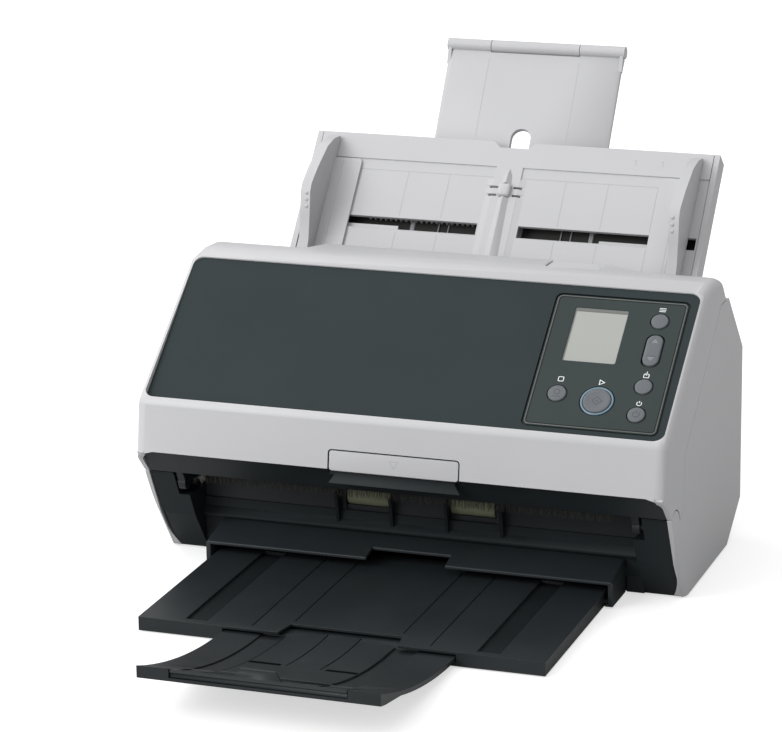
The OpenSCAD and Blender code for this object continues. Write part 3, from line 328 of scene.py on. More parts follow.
@dataclass(frozen=True)
class BlankDisplay(Finish):
    """Unlit display whose colour brightens between two heights in metres: a painted sheen, lighter towards
    the top.
    """

    low: float
    high: float

    def material(self) -> bpy.types.Material:
        """A slow rise in brightness, a painted sheen, under a faint grid of dots.

        Returns:
            The material.
        """
        graph = Graph(self.name)
        height = graph.add("ShaderNodeSeparateXYZ", inputs={0: graph.place}, output="Z")
        rise = height.smooth(self.low, self.high)
        grid = {"Scale": 500.0, "Mortar Size": 0.02, "Brick Width": 0.3, "Row Height": 0.3}
        dots = graph.add("ShaderNodeTexBrick", {"offset": 0.0}, {"Vector": graph.place, **grid}, "Fac")
        # painted sheen: the colour grows lighter towards the top of the display
        colour = graph.blend(rise, self.tone(0.97), self.tone(1.06))
        return graph.surface(
            Base_Color=graph.blend(dots * 0.12, colour, self.tone(0.8)),
            Roughness=0.3 + rise * 0.05,
            Specular_IOR_Level=0.3,
            Coat_Weight=0.1,
        )


class Look(Enum):
    """Finishes, each with its material slot of the record; the first of a slot is the slot's own."""

    SHELL = "shell_plastic", Plastic("shell_white", (0.47, 0.47, 0.482), 0.42, 0.7, 0.012, 0.012)
    PANEL = "panel_plastic", Plastic("panel_grain", (0.0205, 0.029, 0.0305), 0.5, 0.55, 0.05, 0.06, 0.14)
    DARK = "dark_plastic", Plastic("charcoal_grain", (0.014, 0.0175, 0.0195), 0.42, 0.6, 0.04, 0.08, 0.28)
    KEY = "key_plastic", Plastic("key_grey", (0.115, 0.125, 0.135), 0.42, 0.4, 0.008, 0.02, 0.25)
    SCREEN = "screen_window", BlankDisplay("screen_face", (0.31, 0.318, 0.3), 0.11, 0.14)
    RING = "light_ring", Plastic("frosted_ring", (0.125, 0.195, 0.25), 0.25, 0.8, 0.004, 0.03, 0.3, 0.3)
    STEEL = "steel", DrawnMetal("drawn_steel", (0.55, 0.56, 0.58))
    ROLLER = "roller_rubber", Rubber("roller_rubber", (0.22, 0.235, 0.15))
    DARK_RUBBER = "dark_rubber", Rubber("dark_rubber", (0.035, 0.038, 0.04))
    BOARD = "board", CircuitBoard("solder_mask", (0.02, 0.12, 0.05))
    GLASS = "scan_glass", ClearGlass("scan_glass", (0.05, 0.06, 0.065))
    MOTOR = "motor_metal", DrawnMetal("motor_case", (0.1, 0.105, 0.11), 0.4)
    GEAR = "gear_plastic", Plastic("bearing_plastic", (0.62, 0.6, 0.53), 0.45, 0.8, 0.006, 0.03)
    BRISTLE = "bristle", Rubber("bristle_carbon", (0.012, 0.013, 0.014), 0.55)
    FASCIA = "dark_plastic", Plastic("fascia_grain", (0.0125, 0.0165, 0.0185), 0.5, 0.6, 0.05, 0.08, 0.15)
    # painted shade: a darker copy of the dark plastic for the shaded floors of the tray's troughs
    TROUGH = "dark_plastic", Plastic("trough_grain", (0.0088, 0.0112, 0.0125), 0.55, 0.6, 0.04, 0.1, 0.12)
    # painted shade: black for the shade in slots and along trough edges
    PIT = "dark_plastic", Plastic("pit_black", (0.0042, 0.005, 0.0055), 0.8, 0.5, 0.01, 0.1, 0.0)
    # painted shade: near-black lines for the shade in grooves and gaps
    GROOVE = "dark_plastic", Plastic("groove_black", (0.006, 0.007, 0.007), 0.7, 0.5, 0.01, 0.1, 0.1)
    # painted light: a lighter copy of the dark plastic, so the hood looks lit where it stands in shade
    HOOD = "dark_plastic", Plastic("hood_grain", (0.0185, 0.023, 0.0255), 0.45, 0.6, 0.04, 0.08, 0.28)
    FIELD = "panel_plastic", Plastic("key_field_grain", (0.031, 0.0405, 0.0405), 0.5, 0.5, 0.05, 0.05, 0.15)
    # painted highlight and painted shadow: lighter than the key field for the panel's bead, darker than the
    # display for the shadow under its upper edge
    BEAD = "panel_plastic", Plastic("bead_grey", (0.12, 0.125, 0.115), 0.35, 0.5, 0.01, 0.04)
    MARK = "shell_plastic", Plastic("printed_white", (0.72, 0.74, 0.74), 0.6, 0.3, 0.004, 0.03)
    # painted shade: a darker copy of the shell for the shade in scored and engraved lines
    FAINT_LINE = "shell_plastic", Plastic("faint_line", (0.37, 0.37, 0.382), 0.55, 0.5, 0.006, 0.03)
    # painted shade: a darker copy of the shell for webs that stand in the shade of the slots
    GREY_SHELL = "shell_plastic", Plastic("shell_shade", (0.3, 0.3, 0.31), 0.45, 0.7, 0.012, 0.02)
    # painted shade: near black for the deep floor of the slots
    SLOT_SHADE = "shell_plastic", Plastic("slot_shade", (0.03, 0.03, 0.029), 0.6, 0.6, 0.01, 0.1, 0.2)
    # painted shade: a grey line for the shade in the gap around the release tab
    TAB_GAP = "shell_plastic", Plastic("tab_gap", (0.13, 0.13, 0.135), 0.6, 0.5, 0.01, 0.05, 0.2)
    # painted shade: a darker copy of the key plastic for engraved lines
    ENGRAVED = "key_plastic", Plastic("engraved_grey", (0.06, 0.064, 0.07), 0.55, 0.4, 0.004, 0.05)
    # painted highlight: a lighter copy of the key plastic for the tops of raised arrows
    KEY_LIGHT = "key_plastic", Plastic("raised_grey", (0.18, 0.188, 0.2), 0.4, 0.4, 0.004, 0.03)
    BRISTLE_TIP = "bristle", Rubber("bristle_tip", (0.075, 0.06, 0.035), 0.5)
    # painted shade: darker than the display for the shaded walls of its recess
    SCREEN_SHADE = "screen_window", Plastic("screen_edge", (0.13, 0.138, 0.13), 0.3, 0.8, 0.004, 0.03)
    DARK_STEEL = "steel", DrawnMetal("blackened_steel", (0.05, 0.053, 0.057), 0.4)

    def __init__(self, slot: str, finish: Finish) -> None:
        """Keeps the slot and the finish."""
        self.slot, self.finish = slot, finish


SLOT_LOOKS: dict[str, Look] = {look.slot: look for look in reversed(Look)}
NODE_LOOKS: dict[str, Look] = {
    "exit_bezel": Look.FASCIA,
    "operator_panel": Look.FIELD,
    "hinge_pins": Look.DARK_STEEL,
    "stacker_hood": Look.HOOD,
}


@dataclass(frozen=True)
class Plane:
    """Flat face that turns about X, with places on it in millimetres."""

    origin: Vector
    up: Vector
    out: Vector

    @classmethod
    def through(cls, place: Sequence[float], out: Sequence[float], v: float, h: float) -> "Plane":
        """Plane with an outward normal through a known place.

        Args:
            place: the place in metres.
            out: the normal.
            v: how far up the plane the place lies, in millimetres.
            h: how far out of the plane it lies, in millimetres.

        Returns:
            The plane.
        """
        normal = Vector(out).normalized()
        rise = Vector((0.0, normal.z, -normal.y))
        start = Vector((0.0, place[1], place[2])) - rise * (v * MM) - normal * (h * MM)
        return cls(start, rise, normal)

    def at(self, x: float, v: float, h: float = 0.0) -> Vector:
        """Place in metres of x across, v up and h out, all in millimetres."""
        return self.origin + ACROSS * (x * MM) + self.up * (v * MM) + self.out * (h * MM)

    def local(self, place: Vector) -> Triple:
        """Across, up and out, in millimetres, of a place given in millimetres."""
        gap = place - self.origin / MM
        return place.x, gap.dot(self.up), gap.dot(self.out)

    def tilted(self, start: Point, end: Point) -> "Plane":
        """Plane through two heights (v, h) of this one.

        Args:
            start: the lower height, its origin.
            end: the height that it rises to.

        Returns:
            The plane.
        """
        foot = self.at(0.0, *start)
        rise = (self.at(0.0, *end) - foot).normalized()
        return Plane(foot, rise, ACROSS.cross(rise))

    def moved(self, place: Vector = Vector()) -> "Plane":
        """Parallel plane through a place in metres, or through the origin."""
        return Plane(place, self.up, self.out)


# On the floor v is y and h is z, on the front v is z and h is -y.
FLOOR = Plane(Vector(), Vector((0, 1, 0)), Vector((0, 0, 1)))
FRONT = Plane(Vector(), Vector((0, 0, 1)), Vector((0, -1, 0)))


def rounded_box(
    width: float, length: float, radius: float, centre: Point = (0, 0), steps: int = 6
) -> list[Point]:
    """Outline of a rectangle with round corners, counter-clockwise.

    Args:
        width: size across.
        length: size up.
        radius: radius of the corners.
        centre: its middle.
        steps: steps of a corner.

    Returns:
        The points.
    """
    points = []
    for turn, (sx, sy) in enumerate(((1, -1), (1, 1), (-1, 1), (-1, -1))):
        corner = centre[0] + sx * (width / 2 - radius), centre[1] + sy * (length / 2 - radius)
        points += arc(radius, corner, 90 * turn - 90, 90, steps)
    return points


def arc(
    radius: float, centre: Point, start: float = 0.0, sweep: float = 360.0, steps: int = 24
) -> list[Point]:
    """Points of an arc; a full circle leaves out its last point.

    Args:
        radius: radius.
        centre: middle.
        start: first angle in degrees.
        sweep: angle in degrees.
        steps: number of steps.

    Returns:
        The points.
    """
    count = steps if abs(sweep) == 360 else steps + 1
    turns = [math.radians(start + sweep * k / steps) for k in range(count)]
    return [(centre[0] + radius * math.cos(a), centre[1] + radius * math.sin(a)) for a in turns]


def rect(x0: float, x1: float, v0: float, v1: float) -> list[Point]:
    """Corners of a rectangle, counter-clockwise."""
    return [(x0, v0), (x1, v0), (x1, v1), (x0, v1)]


def sided(outline: Sequence[Point], sign: int) -> list[Point]:
    """An outline, or its mirror image in x for sign -1, that turns the same way."""
    return [(sign * x, v) for x, v in outline][::sign]


def flat(low: float, high: float) -> list[Point]:
    """Square section of a ribbon from low to high."""
    return rect(-1, 1, low, high)


def bead(low: float, high: float) -> list[Point]:
    """Round-topped section of a ribbon from low to high."""
    shoulder = 0.4 * low + 0.6 * high
    return [(-1, low), (1, low), (0.72, shoulder), (0, high), (-0.72, shoulder)]


# Sections of printed lines and of scored lines, both also used for lines of painted shade, sunk a little
# into what they lie on.
INK = flat(-0.1, 0.02)
SCORE = flat(-0.1, 0.03)


class Form:
    """Mesh in the making."""

    def __init__(self, name: str) -> None:
        """Starts an empty mesh."""
        self.name = name
        self.mesh = bmesh.new()

    def loft(self, rings: Sequence[Sequence[Vector]], loop: bool = False) -> "Form":
        """Skins closed rings of equal length.

        Args:
            rings: the rings, in metres.
            loop: the last ring joins the first; otherwise both ends are capped.

        Returns:
            The form.
        """
        rows = [[self.mesh.verts.new(p) for p in ring] for ring in rings]
        for low, high in zip(rows, rows[1:] + rows[:loop]):
            for k in range(len(low)):
                j = (k + 1) % len(low)
                self.mesh.faces.new((low[k], low[j], high[j], high[k]))
        if not loop:
            self.mesh.faces.new(list(reversed(rows[0])))
            self.mesh.faces.new(rows[-1])
        return self

    def crown(
        self, plane: Plane, levels: Sequence[tuple[Sequence[Point], float]], loop: bool = False
    ) -> "Form":
        """Skins outlines of a plane, each at its own height in millimetres."""
        return self.loft([[plane.at(x, v, h) for x, v in outline] for outline, h in levels], loop)

    def prism(self, plane: Plane, outline: Sequence[Point], low: float, high: float) -> "Form":
        """Extrudes an outline of a plane from low to high, in millimetres."""
        return self.crown(plane, [(outline, low), (outline, high)])

    def side(self, plane: Plane, profile: Sequence[Point], x0: float, x1: float) -> "Form":
        """Extrudes a profile of heights (v, h) across the plane from x0 to x1, in millimetres."""
        return self.loft([[plane.at(x, v, h) for v, h in profile] for x in (x0, x1)])

    def along(self, plane: Plane, sections: Sequence[tuple[float, Sequence[Point]]]) -> "Form":
        """Skins sections (x, h), each at its own place v up the plane, in millimetres."""
        return self.loft([[plane.at(x, v, h) for x, h in section] for v, section in sections])

    def lathe(
        self, plane: Plane, centre: Point, profile: Sequence[Point], steps: int = 40, loop: bool = False
    ) -> "Form":
        """Turns a profile (radius, height) about an axis that stands on a plane."""
        return self.crown(plane, [(arc(r, centre, steps=steps), h) for r, h in profile], loop)

    def ribbon(
        self,
        plane: Plane,
        path: Sequence[Point],
        width: float,
        section: Sequence[Point],
        loop: bool = False,
        lift: Callable[[float, float], float] = lambda x, v: 0.0,
    ) -> "Form":
        """Sweeps a section along a path on a plane.

        Args:
            plane: the plane.
            path: points in millimetres.
            width: width of the ribbon.
            section: points of the section, as a share of the half width and a height.
            loop: the path is closed.
            lift: further height at a point.

        Returns:
            The form.
        """
        rows = []
        for k, here in enumerate(path):
            before = path[k - 1] if k or loop else None
            after = path[(k + 1) % len(path)] if loop or k + 1 < len(path) else None
            sides = []
            for start, end in ((before, here), (here, after)):
                if start and end:
                    dx, dv = end[0] - start[0], end[1] - start[1]
                    size = math.hypot(dx, dv)
                    sides.append(Vector((-dv / size, dx / size)))
            across = sides[0] if len(sides) == 1 else (sides[0] + sides[1]) / (1 + sides[0].dot(sides[1]))
            dx, dv = across * (width / 2)
            rise = lift(*here)
            rows.append([plane.at(here[0] + dx * s, here[1] + dv * s, h + rise) for s, h in section])
        return self.loft(rows, loop)


class Repeater:
    """Geometry Nodes tree that sets copies of one shape along a line."""

    def __init__(self) -> None:
        """Builds the tree with its named inputs."""
        self.tree = bpy.data.node_groups.new("copies_on_a_line", "GeometryNodeTree")
        face = self.tree.interface
        self.usual = {"wander": Vector(), "lean": Vector(), "smallest": Vector((1, 1, 1)), "seed": 3}
        kinds = {
            "shape": "Object", "count": "Int", "start": "Vector", "step": "Vector", "wander": "Vector",
            "lean": "Vector", "smallest": "Vector", "seed": "Int", "finish": "Material",
        }
        for name, kind in kinds.items():
            face.new_socket(name, in_out="INPUT", socket_type="NodeSocket" + kind)
        face.new_socket("Geometry", in_out="OUTPUT", socket_type="NodeSocketGeometry")
        self.keys = {item.name: item.identifier for item in face.items_tree if item.in_out == "INPUT"}
        enter = self.tree.nodes.new("NodeGroupInput").outputs
        line = self._node("GeometryNodeMeshLine", {
            "Count": enter["count"], "Start Location": enter["start"], "Offset": enter["step"]
        }, mode="OFFSET")
        shape = self._node("GeometryNodeObjectInfo", {"Object": enter["shape"]})
        moves = self._spread(enter["wander"], enter["seed"], 0)
        spots = self._node("GeometryNodeSetPosition", {"Geometry": line[0], "Offset": moves})
        turns = self._spread(enter["lean"], enter["seed"], 7)
        sizes = self._chance(enter["smallest"], (1.0, 1.0, 1.0), enter["seed"])
        copies = self._node("GeometryNodeInstanceOnPoints", {
            "Points": spots[0], "Instance": shape["Geometry"], "Rotation": turns, "Scale": sizes
        })
        solid = self._node("GeometryNodeRealizeInstances", {"Geometry": copies[0]})
        painted = self._node("GeometryNodeSetMaterial", {"Geometry": solid[0], "Material": enter["finish"]})
        self._node("NodeGroupOutput", {"Geometry": painted[0]})

    def _node(self, kind: str, inputs: dict, **settings: str) -> Sockets:
        """Adds one node and returns its outputs."""
        return put(self.tree, kind, settings, inputs)

    def _chance(self, low: Union[Triple, Socket], high: Union[Triple, Socket], seed: Socket) -> Socket:
        """Random vector between two vectors or sockets."""
        limits = {"Min": low, "Max": high, "Seed": seed}
        return self._node("FunctionNodeRandomValue", limits, data_type="FLOAT_VECTOR")[0]

    def _spread(self, reach: Socket, seed: Socket, shift: int) -> Socket:
        """Random vector between minus reach and reach.

        Args:
            reach: socket of the largest values.
            seed: socket of the seed.
            shift: number added to the seed.

        Returns:
            The socket of the vector.
        """
        other = self._node("ShaderNodeMath", {0: seed, 1: float(shift)}, operation="ADD")
        back = self._node("ShaderNodeVectorMath", {0: reach, "Scale": -1.0}, operation="SCALE")
        return self._chance(back[0], reach, other[0])

    def run(self, name: str, **values: object) -> bpy.types.Object:
        """Makes one plain mesh of all the copies and takes the shape away.

        Args:
            name: name of the new object.
            values: inputs of the tree by name. The shape is drawn about the origin. Each copy has a chance
                shift of up to wander, a turn of up to lean in radians and a scale from smallest to 1.

        Returns:
            The new object.
        """
        carrier = show(name + "_carrier", bpy.data.meshes.new(name + "_carrier"))
        modifier = carrier.modifiers.new("copies", "NODES")
        modifier.node_group = self.tree
        for key, value in {**self.usual, **values}.items():
            modifier[self.keys[key]] = value
        bpy.context.view_layer.update()
        graph = bpy.context.evaluated_depsgraph_get()
        mesh = bpy.data.meshes.new_from_object(carrier.evaluated_get(graph))
        mesh.name = name
        carrier.modifiers.remove(modifier)
        for spare in (carrier, values["shape"]):
            old = spare.data
            bpy.data.objects.remove(spare)
            bpy.data.meshes.remove(old)
        return show(name, mesh)


@dataclass(frozen=True)
class RoundOver:
    """Larger rounding of the edges whose two ends are picked, in millimetres.

    An edge that has to run along "y" or "z" covers more than the reach that way.
    """

    picks: Callable[[Vector], bool]
    radius: float
    steps: int
    along: str = ""
    reach: float = 5.0
    least_turn: float = 0.3

    def takes(self, edge: bmesh.types.BMEdge) -> bool:
        """Tells whether an edge turns between its two faces and is picked.

        Args:
            edge: the edge.

        Returns:
            True if it is to be rounded.
        """
        if len(edge.link_faces) != 2 or edge.calc_face_angle(0) <= self.least_turn:
            return False
        p, q = (vert.co / MM for vert in edge.verts)
        if self.along and abs(getattr(p, self.along) - getattr(q, self.along)) <= self.reach:
            return False
        return self.picks(p) and self.picks(q)


class Workshop:
    """Makes pieces, dresses them and attaches them to their bodies."""

    def __init__(self) -> None:
        """Builds every finish once and looks up each node's body and look."""
        record = frame["record"]
        behaviour = record["behaviour"]
        self.materials = {look: look.finish.material() for look in Look}
        self.look_of = {part["node"]: SLOT_LOOKS[part["material_slot"]] for part in record["subparts"]}
        self.look_of.update(NODE_LOOKS)
        self.body_of = {node: body for body, nodes in behaviour["bodies"].items() for node in nodes}
        self.joints = {joint["name"]: joint for joint in behaviour["joints"]}
        self.repeater = Repeater()

    def dress_nodes(self) -> None:
        """Gives every node of the frame its finish."""
        for name, node in frame["nodes"].items():
            node.data.materials.clear()
            node.data.materials.append(self.materials[self.look_of[name]])
            LOG.info("dressed %s", name)

    def finish(self, piece: bpy.types.Object, look: Look, body: str, *stands_for: str) -> None:
        """Attaches a new piece to its body and hides the nodes that it replaces.

        Args:
            piece: the object.
            look: its finish; not used.
            body: the body that it rides on.
            stands_for: nodes that it replaces.
        """
        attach(piece, body)
        if stands_for:
            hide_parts(*stands_for)
        LOG.info("made %s on %s", piece.name, body)

    def solid(self, form: Form) -> bpy.types.Object:
        """Turns a form into an object with outward normals and smooth faces.

        Args:
            form: the form.

        Returns:
            The object.
        """
        bmesh.ops.recalc_face_normals(form.mesh, faces=form.mesh.faces)
        mesh = bpy.data.meshes.new(form.name)
        self.settle(form.mesh, mesh, SMOOTH_ANGLE)
        return show(form.name, mesh)

    def settle(self, form: bmesh.types.BMesh, mesh: bpy.types.Mesh, angle: float) -> None:
        """Writes smooth faces to a mesh.

        Args:
            form: the faces, freed afterwards.
            mesh: the mesh.
            angle: edges sharper than this stay sharp, in radians.
        """
        for face in form.faces:
            face.smooth = True
        form.to_mesh(mesh)
        form.free()
        mesh.set_sharp_from_angle(angle=angle)

    def add(self, form: Form, look: Look, body: str, *stands_for: str) -> None:
        """Adds a form as a piece of the object.

        Args:
            form: the form.
            look: its finish.
            body: the body that it rides on.
            stands_for: nodes that it replaces.
        """
        piece = self.solid(form)
        piece.data.materials.append(self.materials[look])
        self.finish(piece, look, body, *stands_for)

    def repeat(self, form: Form, look: Look, body: str, **line: object) -> None:
        """Adds copies of a form along a line as one piece.

        Args:
            form: the shape, drawn about the origin.
            look: its finish.
            body: the body that it rides on.
            line: count, start, step and the chance values of the copies.
        """
        shape = self.solid(form)
        shape.name = form.name + "_shape"
        piece = self.repeater.run(form.name, shape=shape, finish=self.materials[look], **line)
        self.finish(piece, look, body)

    def soften(self, node: str, width: float, *round_overs: RoundOver) -> None:
        """Replaces a node by a copy of it with rounded edges.

        Args:
            node: name of the node.
            width: width of the rounding in millimetres.
            round_overs: larger roundings of chosen edges, made first.
        """
        mesh = frame["nodes"][node].data.copy()
        form = bmesh.new()
        form.from_mesh(mesh)
        bmesh.ops.remove_doubles(form, verts=form.verts, dist=MERGE_GAP)
        bmesh.ops.dissolve_limit(
            form, angle_limit=FLAT_ANGLE, verts=form.verts, edges=form.edges, delimit=set()
        )
        for over in round_overs:
            chosen = [edge for edge in form.edges if over.takes(edge)]
            bmesh.ops.bevel(
                form, geom=chosen, offset=over.radius * MM, segments=over.steps, profile=0.5, affect="EDGES"
            )
            LOG.info("rounded %d edges of %s", len(chosen), node)
        self.settle(form, mesh, SOFT_ANGLE)
        piece = show("soft_" + node, mesh)
        bevel = piece.modifiers.new("edge", "BEVEL")
        bevel.width = width * MM
        bevel.segments = 2
        bevel.limit_method = "ANGLE"
        bevel.angle_limit = SOFT_ANGLE
        bevel.harden_normals = True
        mesh.materials.clear()
        mesh.materials.append(self.materials[self.look_of[node]])
        self.finish(piece, self.look_of[node], self.body_of[node], node)


@dataclass
class KeyField:
    """Operator panel: its keys, display, beads and printed signs; places are millimetres on the panel."""

    shop: Workshop
    plane: Plane
    middle: Point = (104.5, 49.45)
    size: Point = (73.0, 86.5)
    small_keys: dict[str, Triple] = field(default_factory=lambda: {
        "menu": (127.4, 79.4, 5.1), "manual_feed": (127.8, 36.3, 5.1),
        "power": (127.8, 18.0, 5.1), "stop": (82.3, 27.5, 5.4),
    })
    rocker: Point = (127.7, 60.0)
    rocker_size: Point = (9.4, 20.6)
    pivot: Point = (60.0, -3.15)
    scan: Point = (104.9, 24.7)
    scan_r: float = 7.75
    scan_steps: int = 56
    screen: tuple[Point, Point] = ((79.7, 49.4), (109.1, 85.0))
    gap: float = 0.4
    crown: float = 0.9
    pole: float = 0.4
    flange: float = 1.2
    flange_h: Point = (-3.3, -2.3)
    stroke: float = 0.42

    def build(self) -> None:
        """Makes every piece of the panel."""
        for name, (x, v, radius) in self.small_keys.items():
            self.round_key(name, (x, v), radius)
        self.scan_key()
        self.rocker_key()
        self.outline()
        self.display()
        self.signs()

    def skirt(self, opening: float, wall: float) -> list[Point]:
        """Rings of a key's hidden flange, from the middle out to its rim and back to its wall."""
        low, high = self.flange_h
        return [(self.pole, low), (opening + self.flange, low), (opening + self.flange, high), (wall, high)]

    def round_key(self, name: str, centre: Point, radius: float) -> None:
        """Turns one crowned key with its hidden flange, and engraves its sign in painted shade.

        Args:
            name: name of the key.
            centre: its middle.
            radius: radius of its opening.
        """
        r = radius - self.gap
        dome = lambda s: self.crown - 0.3 * (s / r) ** 2
        rings = self.skirt(radius, r) + [(r, 0.3), (r - 0.1, 0.48)]
        rings += [(r * k, dome(r * k) - 0.02 * (k > 0.9)) for k in (0.94, 0.85, 0.65, 0.4, 0.1)]
        cap = Form(name + "_cap").lathe(self.plane, centre, rings)
        self.shop.add(cap, Look.KEY, name + "_key", name + "_button")
        x, v = centre
        lift = lambda px, pv: dome(math.hypot(px - x, pv - v))
        line = flat(-0.05, 0.03)
        if name == "power":
            sign = Form("power_sign").ribbon(self.plane, arc(1.8, centre, 125, 290), 0.45, line, lift=lift)
            sign.ribbon(self.plane, [(x, v + 0.4), (x, v + 2.3)], 0.45, line, lift=lift)
        elif name == "stop":
            ring, bar = arc(1.5, (x, v + 0.6)), [(x + step, v - 2.4) for step in (-2.2, 0, 2.2)]
            sign = Form("stop_sign").ribbon(self.plane, ring, self.stroke, line, True, lift)
            sign.ribbon(self.plane, bar, self.stroke, line, lift=lift)
        else:
            return
        # painted shade: the sign's lines darker than the key
        self.shop.add(sign, Look.ENGRAVED, name + "_key")

    def scan_key(self) -> None:
        """Turns the dished key, its light ring and the engraved diamond, whose lines are painted shade."""
        x, v = self.scan
        r = self.scan_r - 0.15
        shoulder = [(r, 0.35), (r - 0.12, 0.58), (r - 0.4, 0.74), (r - 0.9, 0.8), (6.0, 0.8)]
        dish = [(5.6, 0.74), (5.0, 0.62), (4.2, 0.5), (2.8, 0.43), (self.pole, 0.4)]
        rings = self.skirt(self.scan_r, r) + shoulder + dish
        cap = Form("scan_cap").lathe(self.plane, self.scan, rings, self.scan_steps)
        self.shop.add(cap, Look.KEY, "scan_key", "scan_button")
        low = lambda px, pv: 0.4 + 0.0125 * (math.hypot(px - x, pv - v) - self.pole)
        line, wide, reach, bar = flat(-0.05, 0.05), 0.38, 2.7, 0.7
        diamond = [(x, v + reach), (x + reach, v), (x, v - reach), (x - reach, v)]
        sign = Form("scan_sign").ribbon(self.plane, diamond, wide, line, True, low)
        sign.ribbon(self.plane, [(x - bar, v - bar), (x + bar, v + bar)], wide, line, lift=low)
        sign.ribbon(self.plane, [(x - 0.3, v - 6.9), (x - 0.5, v - 6.0)], 0.5, flat(0.35, 0.46))
        # painted shade: the diamond and the notch darker than the key
        self.shop.add(sign, Look.ENGRAVED, "scan_key")
        a, b = self.scan_r + 0.2, self.scan_r + 1.25
        section = [(a, -2.2), (b, -2.2), (b, 0.12), (b - 0.2, 0.27), (a + 0.25, 0.3), (a, 0.15)]
        ring = Form("scan_light").lathe(self.plane, self.scan, section, self.scan_steps, True)
        self.shop.add(ring, Look.RING, "feeder", "scan_ring")

    def rocker_key(self) -> None:
        """Moulds the rocker with its arrows and its pivot; the arrows carry a painted highlight, their edge
        lines painted shade.
        """
        width, length = self.rocker_size
        x, v = self.rocker
        cut = lambda i: rounded_box(width - 2 * i, length - 2 * i, width / 2 - 0.2 - i, self.rocker, 8)
        steps = [(0.3, -2.7), (0.3, 0.3), (0.42, 0.5), (0.75, 0.68), (1.6, 0.8), (3.0, 0.88)]
        form = Form("rocker_cap").crown(self.plane, [(cut(inset), h) for inset, h in steps])
        form.prism(self.plane, rounded_box(width - 2, 5, 0.6, self.rocker), -3.7, -2.5)
        end = width / 2 + 1.7
        form.side(self.plane, arc(0.75, self.pivot, steps=16), x - end, x + end)
        self.shop.add(form, Look.KEY, "rocker_key", "rocker_button")
        lines, fills = Form("rocker_lines"), Form("rocker_arrows")
        for way in (1, -1):
            tip, foot = v + way * 7.4, v + way * 4.6
            fills.prism(self.plane, [(x - 2, foot), (x + 2, foot), (x, tip)][::way], 0.6, 0.9)
        lines.ribbon(self.plane, [(x - 2.5, v + 4.5), (x - 0.1, v + 7.8)], 0.4, flat(0.6, 0.89))
        lines.ribbon(self.plane, [(x - 2.5, v - 4.1), (x + 2.3, v - 4.1)], 0.4, flat(0.6, 0.9))
        # painted highlight on the arrows, painted shade on their edge lines
        self.shop.add(fills, Look.KEY_LIGHT, "rocker_key")
        self.shop.add(lines, Look.ENGRAVED, "rocker_key")

    def outline(self) -> None:
        """Lays the raised bead, coloured lighter as a painted highlight, and a thin line of painted groove
        shade inside the panel's edge.
        """
        lines = (
            # painted highlight: the bead is coloured lighter than the key field
            ("panel_bead", 1.5, 2.4, 0.6, bead(-0.1, 0.2), Look.BEAD),
            # painted shade: a thin dark line for a groove inside the panel's edge
            ("panel_hairline", 3.0, 1.8, 0.3, INK, Look.GROOVE),
        )
        for name, inset, radius, wide, section, look in lines:
            path = rounded_box(self.size[0] - inset, self.size[1] - inset, radius, self.middle)
            self.shop.add(Form(name).ribbon(self.plane, path, wide, section, True), look, "feeder")

    def display(self) -> None:
        """Shades the upper and left edges of the display's recess."""
        (x0, v0), (x1, v1) = self.screen
        left, right, floor = x0 + 0.1, x1 - 0.1, -0.45
        lip, dark = Form("display_edge"), Form("display_shadow")
        lip.prism(self.plane, rect(left, right, v1 - 1.2, v1 - 0.1), floor, -0.34)
        lip.prism(self.plane, rect(left, x0 + 0.9, v0 + 0.1, v1 - 1.3), floor, -0.36)
        dark.prism(self.plane, rect(x0 + 1.0, right, v1 - 2.5, v1 - 1.3), floor, -0.37)
        # painted shade: strips along the upper and left edges of the display's recess
        self.shop.add(lip, Look.SCREEN_SHADE, "feeder")
        # painted shadow: a dark strip under the display's upper edge
        self.shop.add(dark, Look.BEAD, "feeder")

    def signs(self) -> None:
        """Prints a small general sign beside each key."""
        form = Form("panel_signs")
        draw = lambda points, loop=False: form.ribbon(self.plane, points, self.stroke, INK, loop)
        for v in (86.2, 87.2, 88.2):
            draw([(125.6, v), (129.2, v)])
        draw(rounded_box(2.8, 2.8, 0.4, (82.3, 37.0)), True)
        draw([(103.7, 38.4), (106.4, 36.9), (103.7, 35.4)], True)
        draw(rounded_box(2.8, 2.2, 0.3, (127.8, 43.4)), True)
        draw([(127.8, 46.4), (127.8, 43.7)])
        draw([(127.0, 45.0), (127.8, 43.9), (128.6, 45.0)])
        draw(arc(1.3, (127.8, 25.4), 125, 290))
        draw([(127.8, 25.7), (127.8, 27.1)])
        self.shop.add(form, Look.MARK, "feeder")


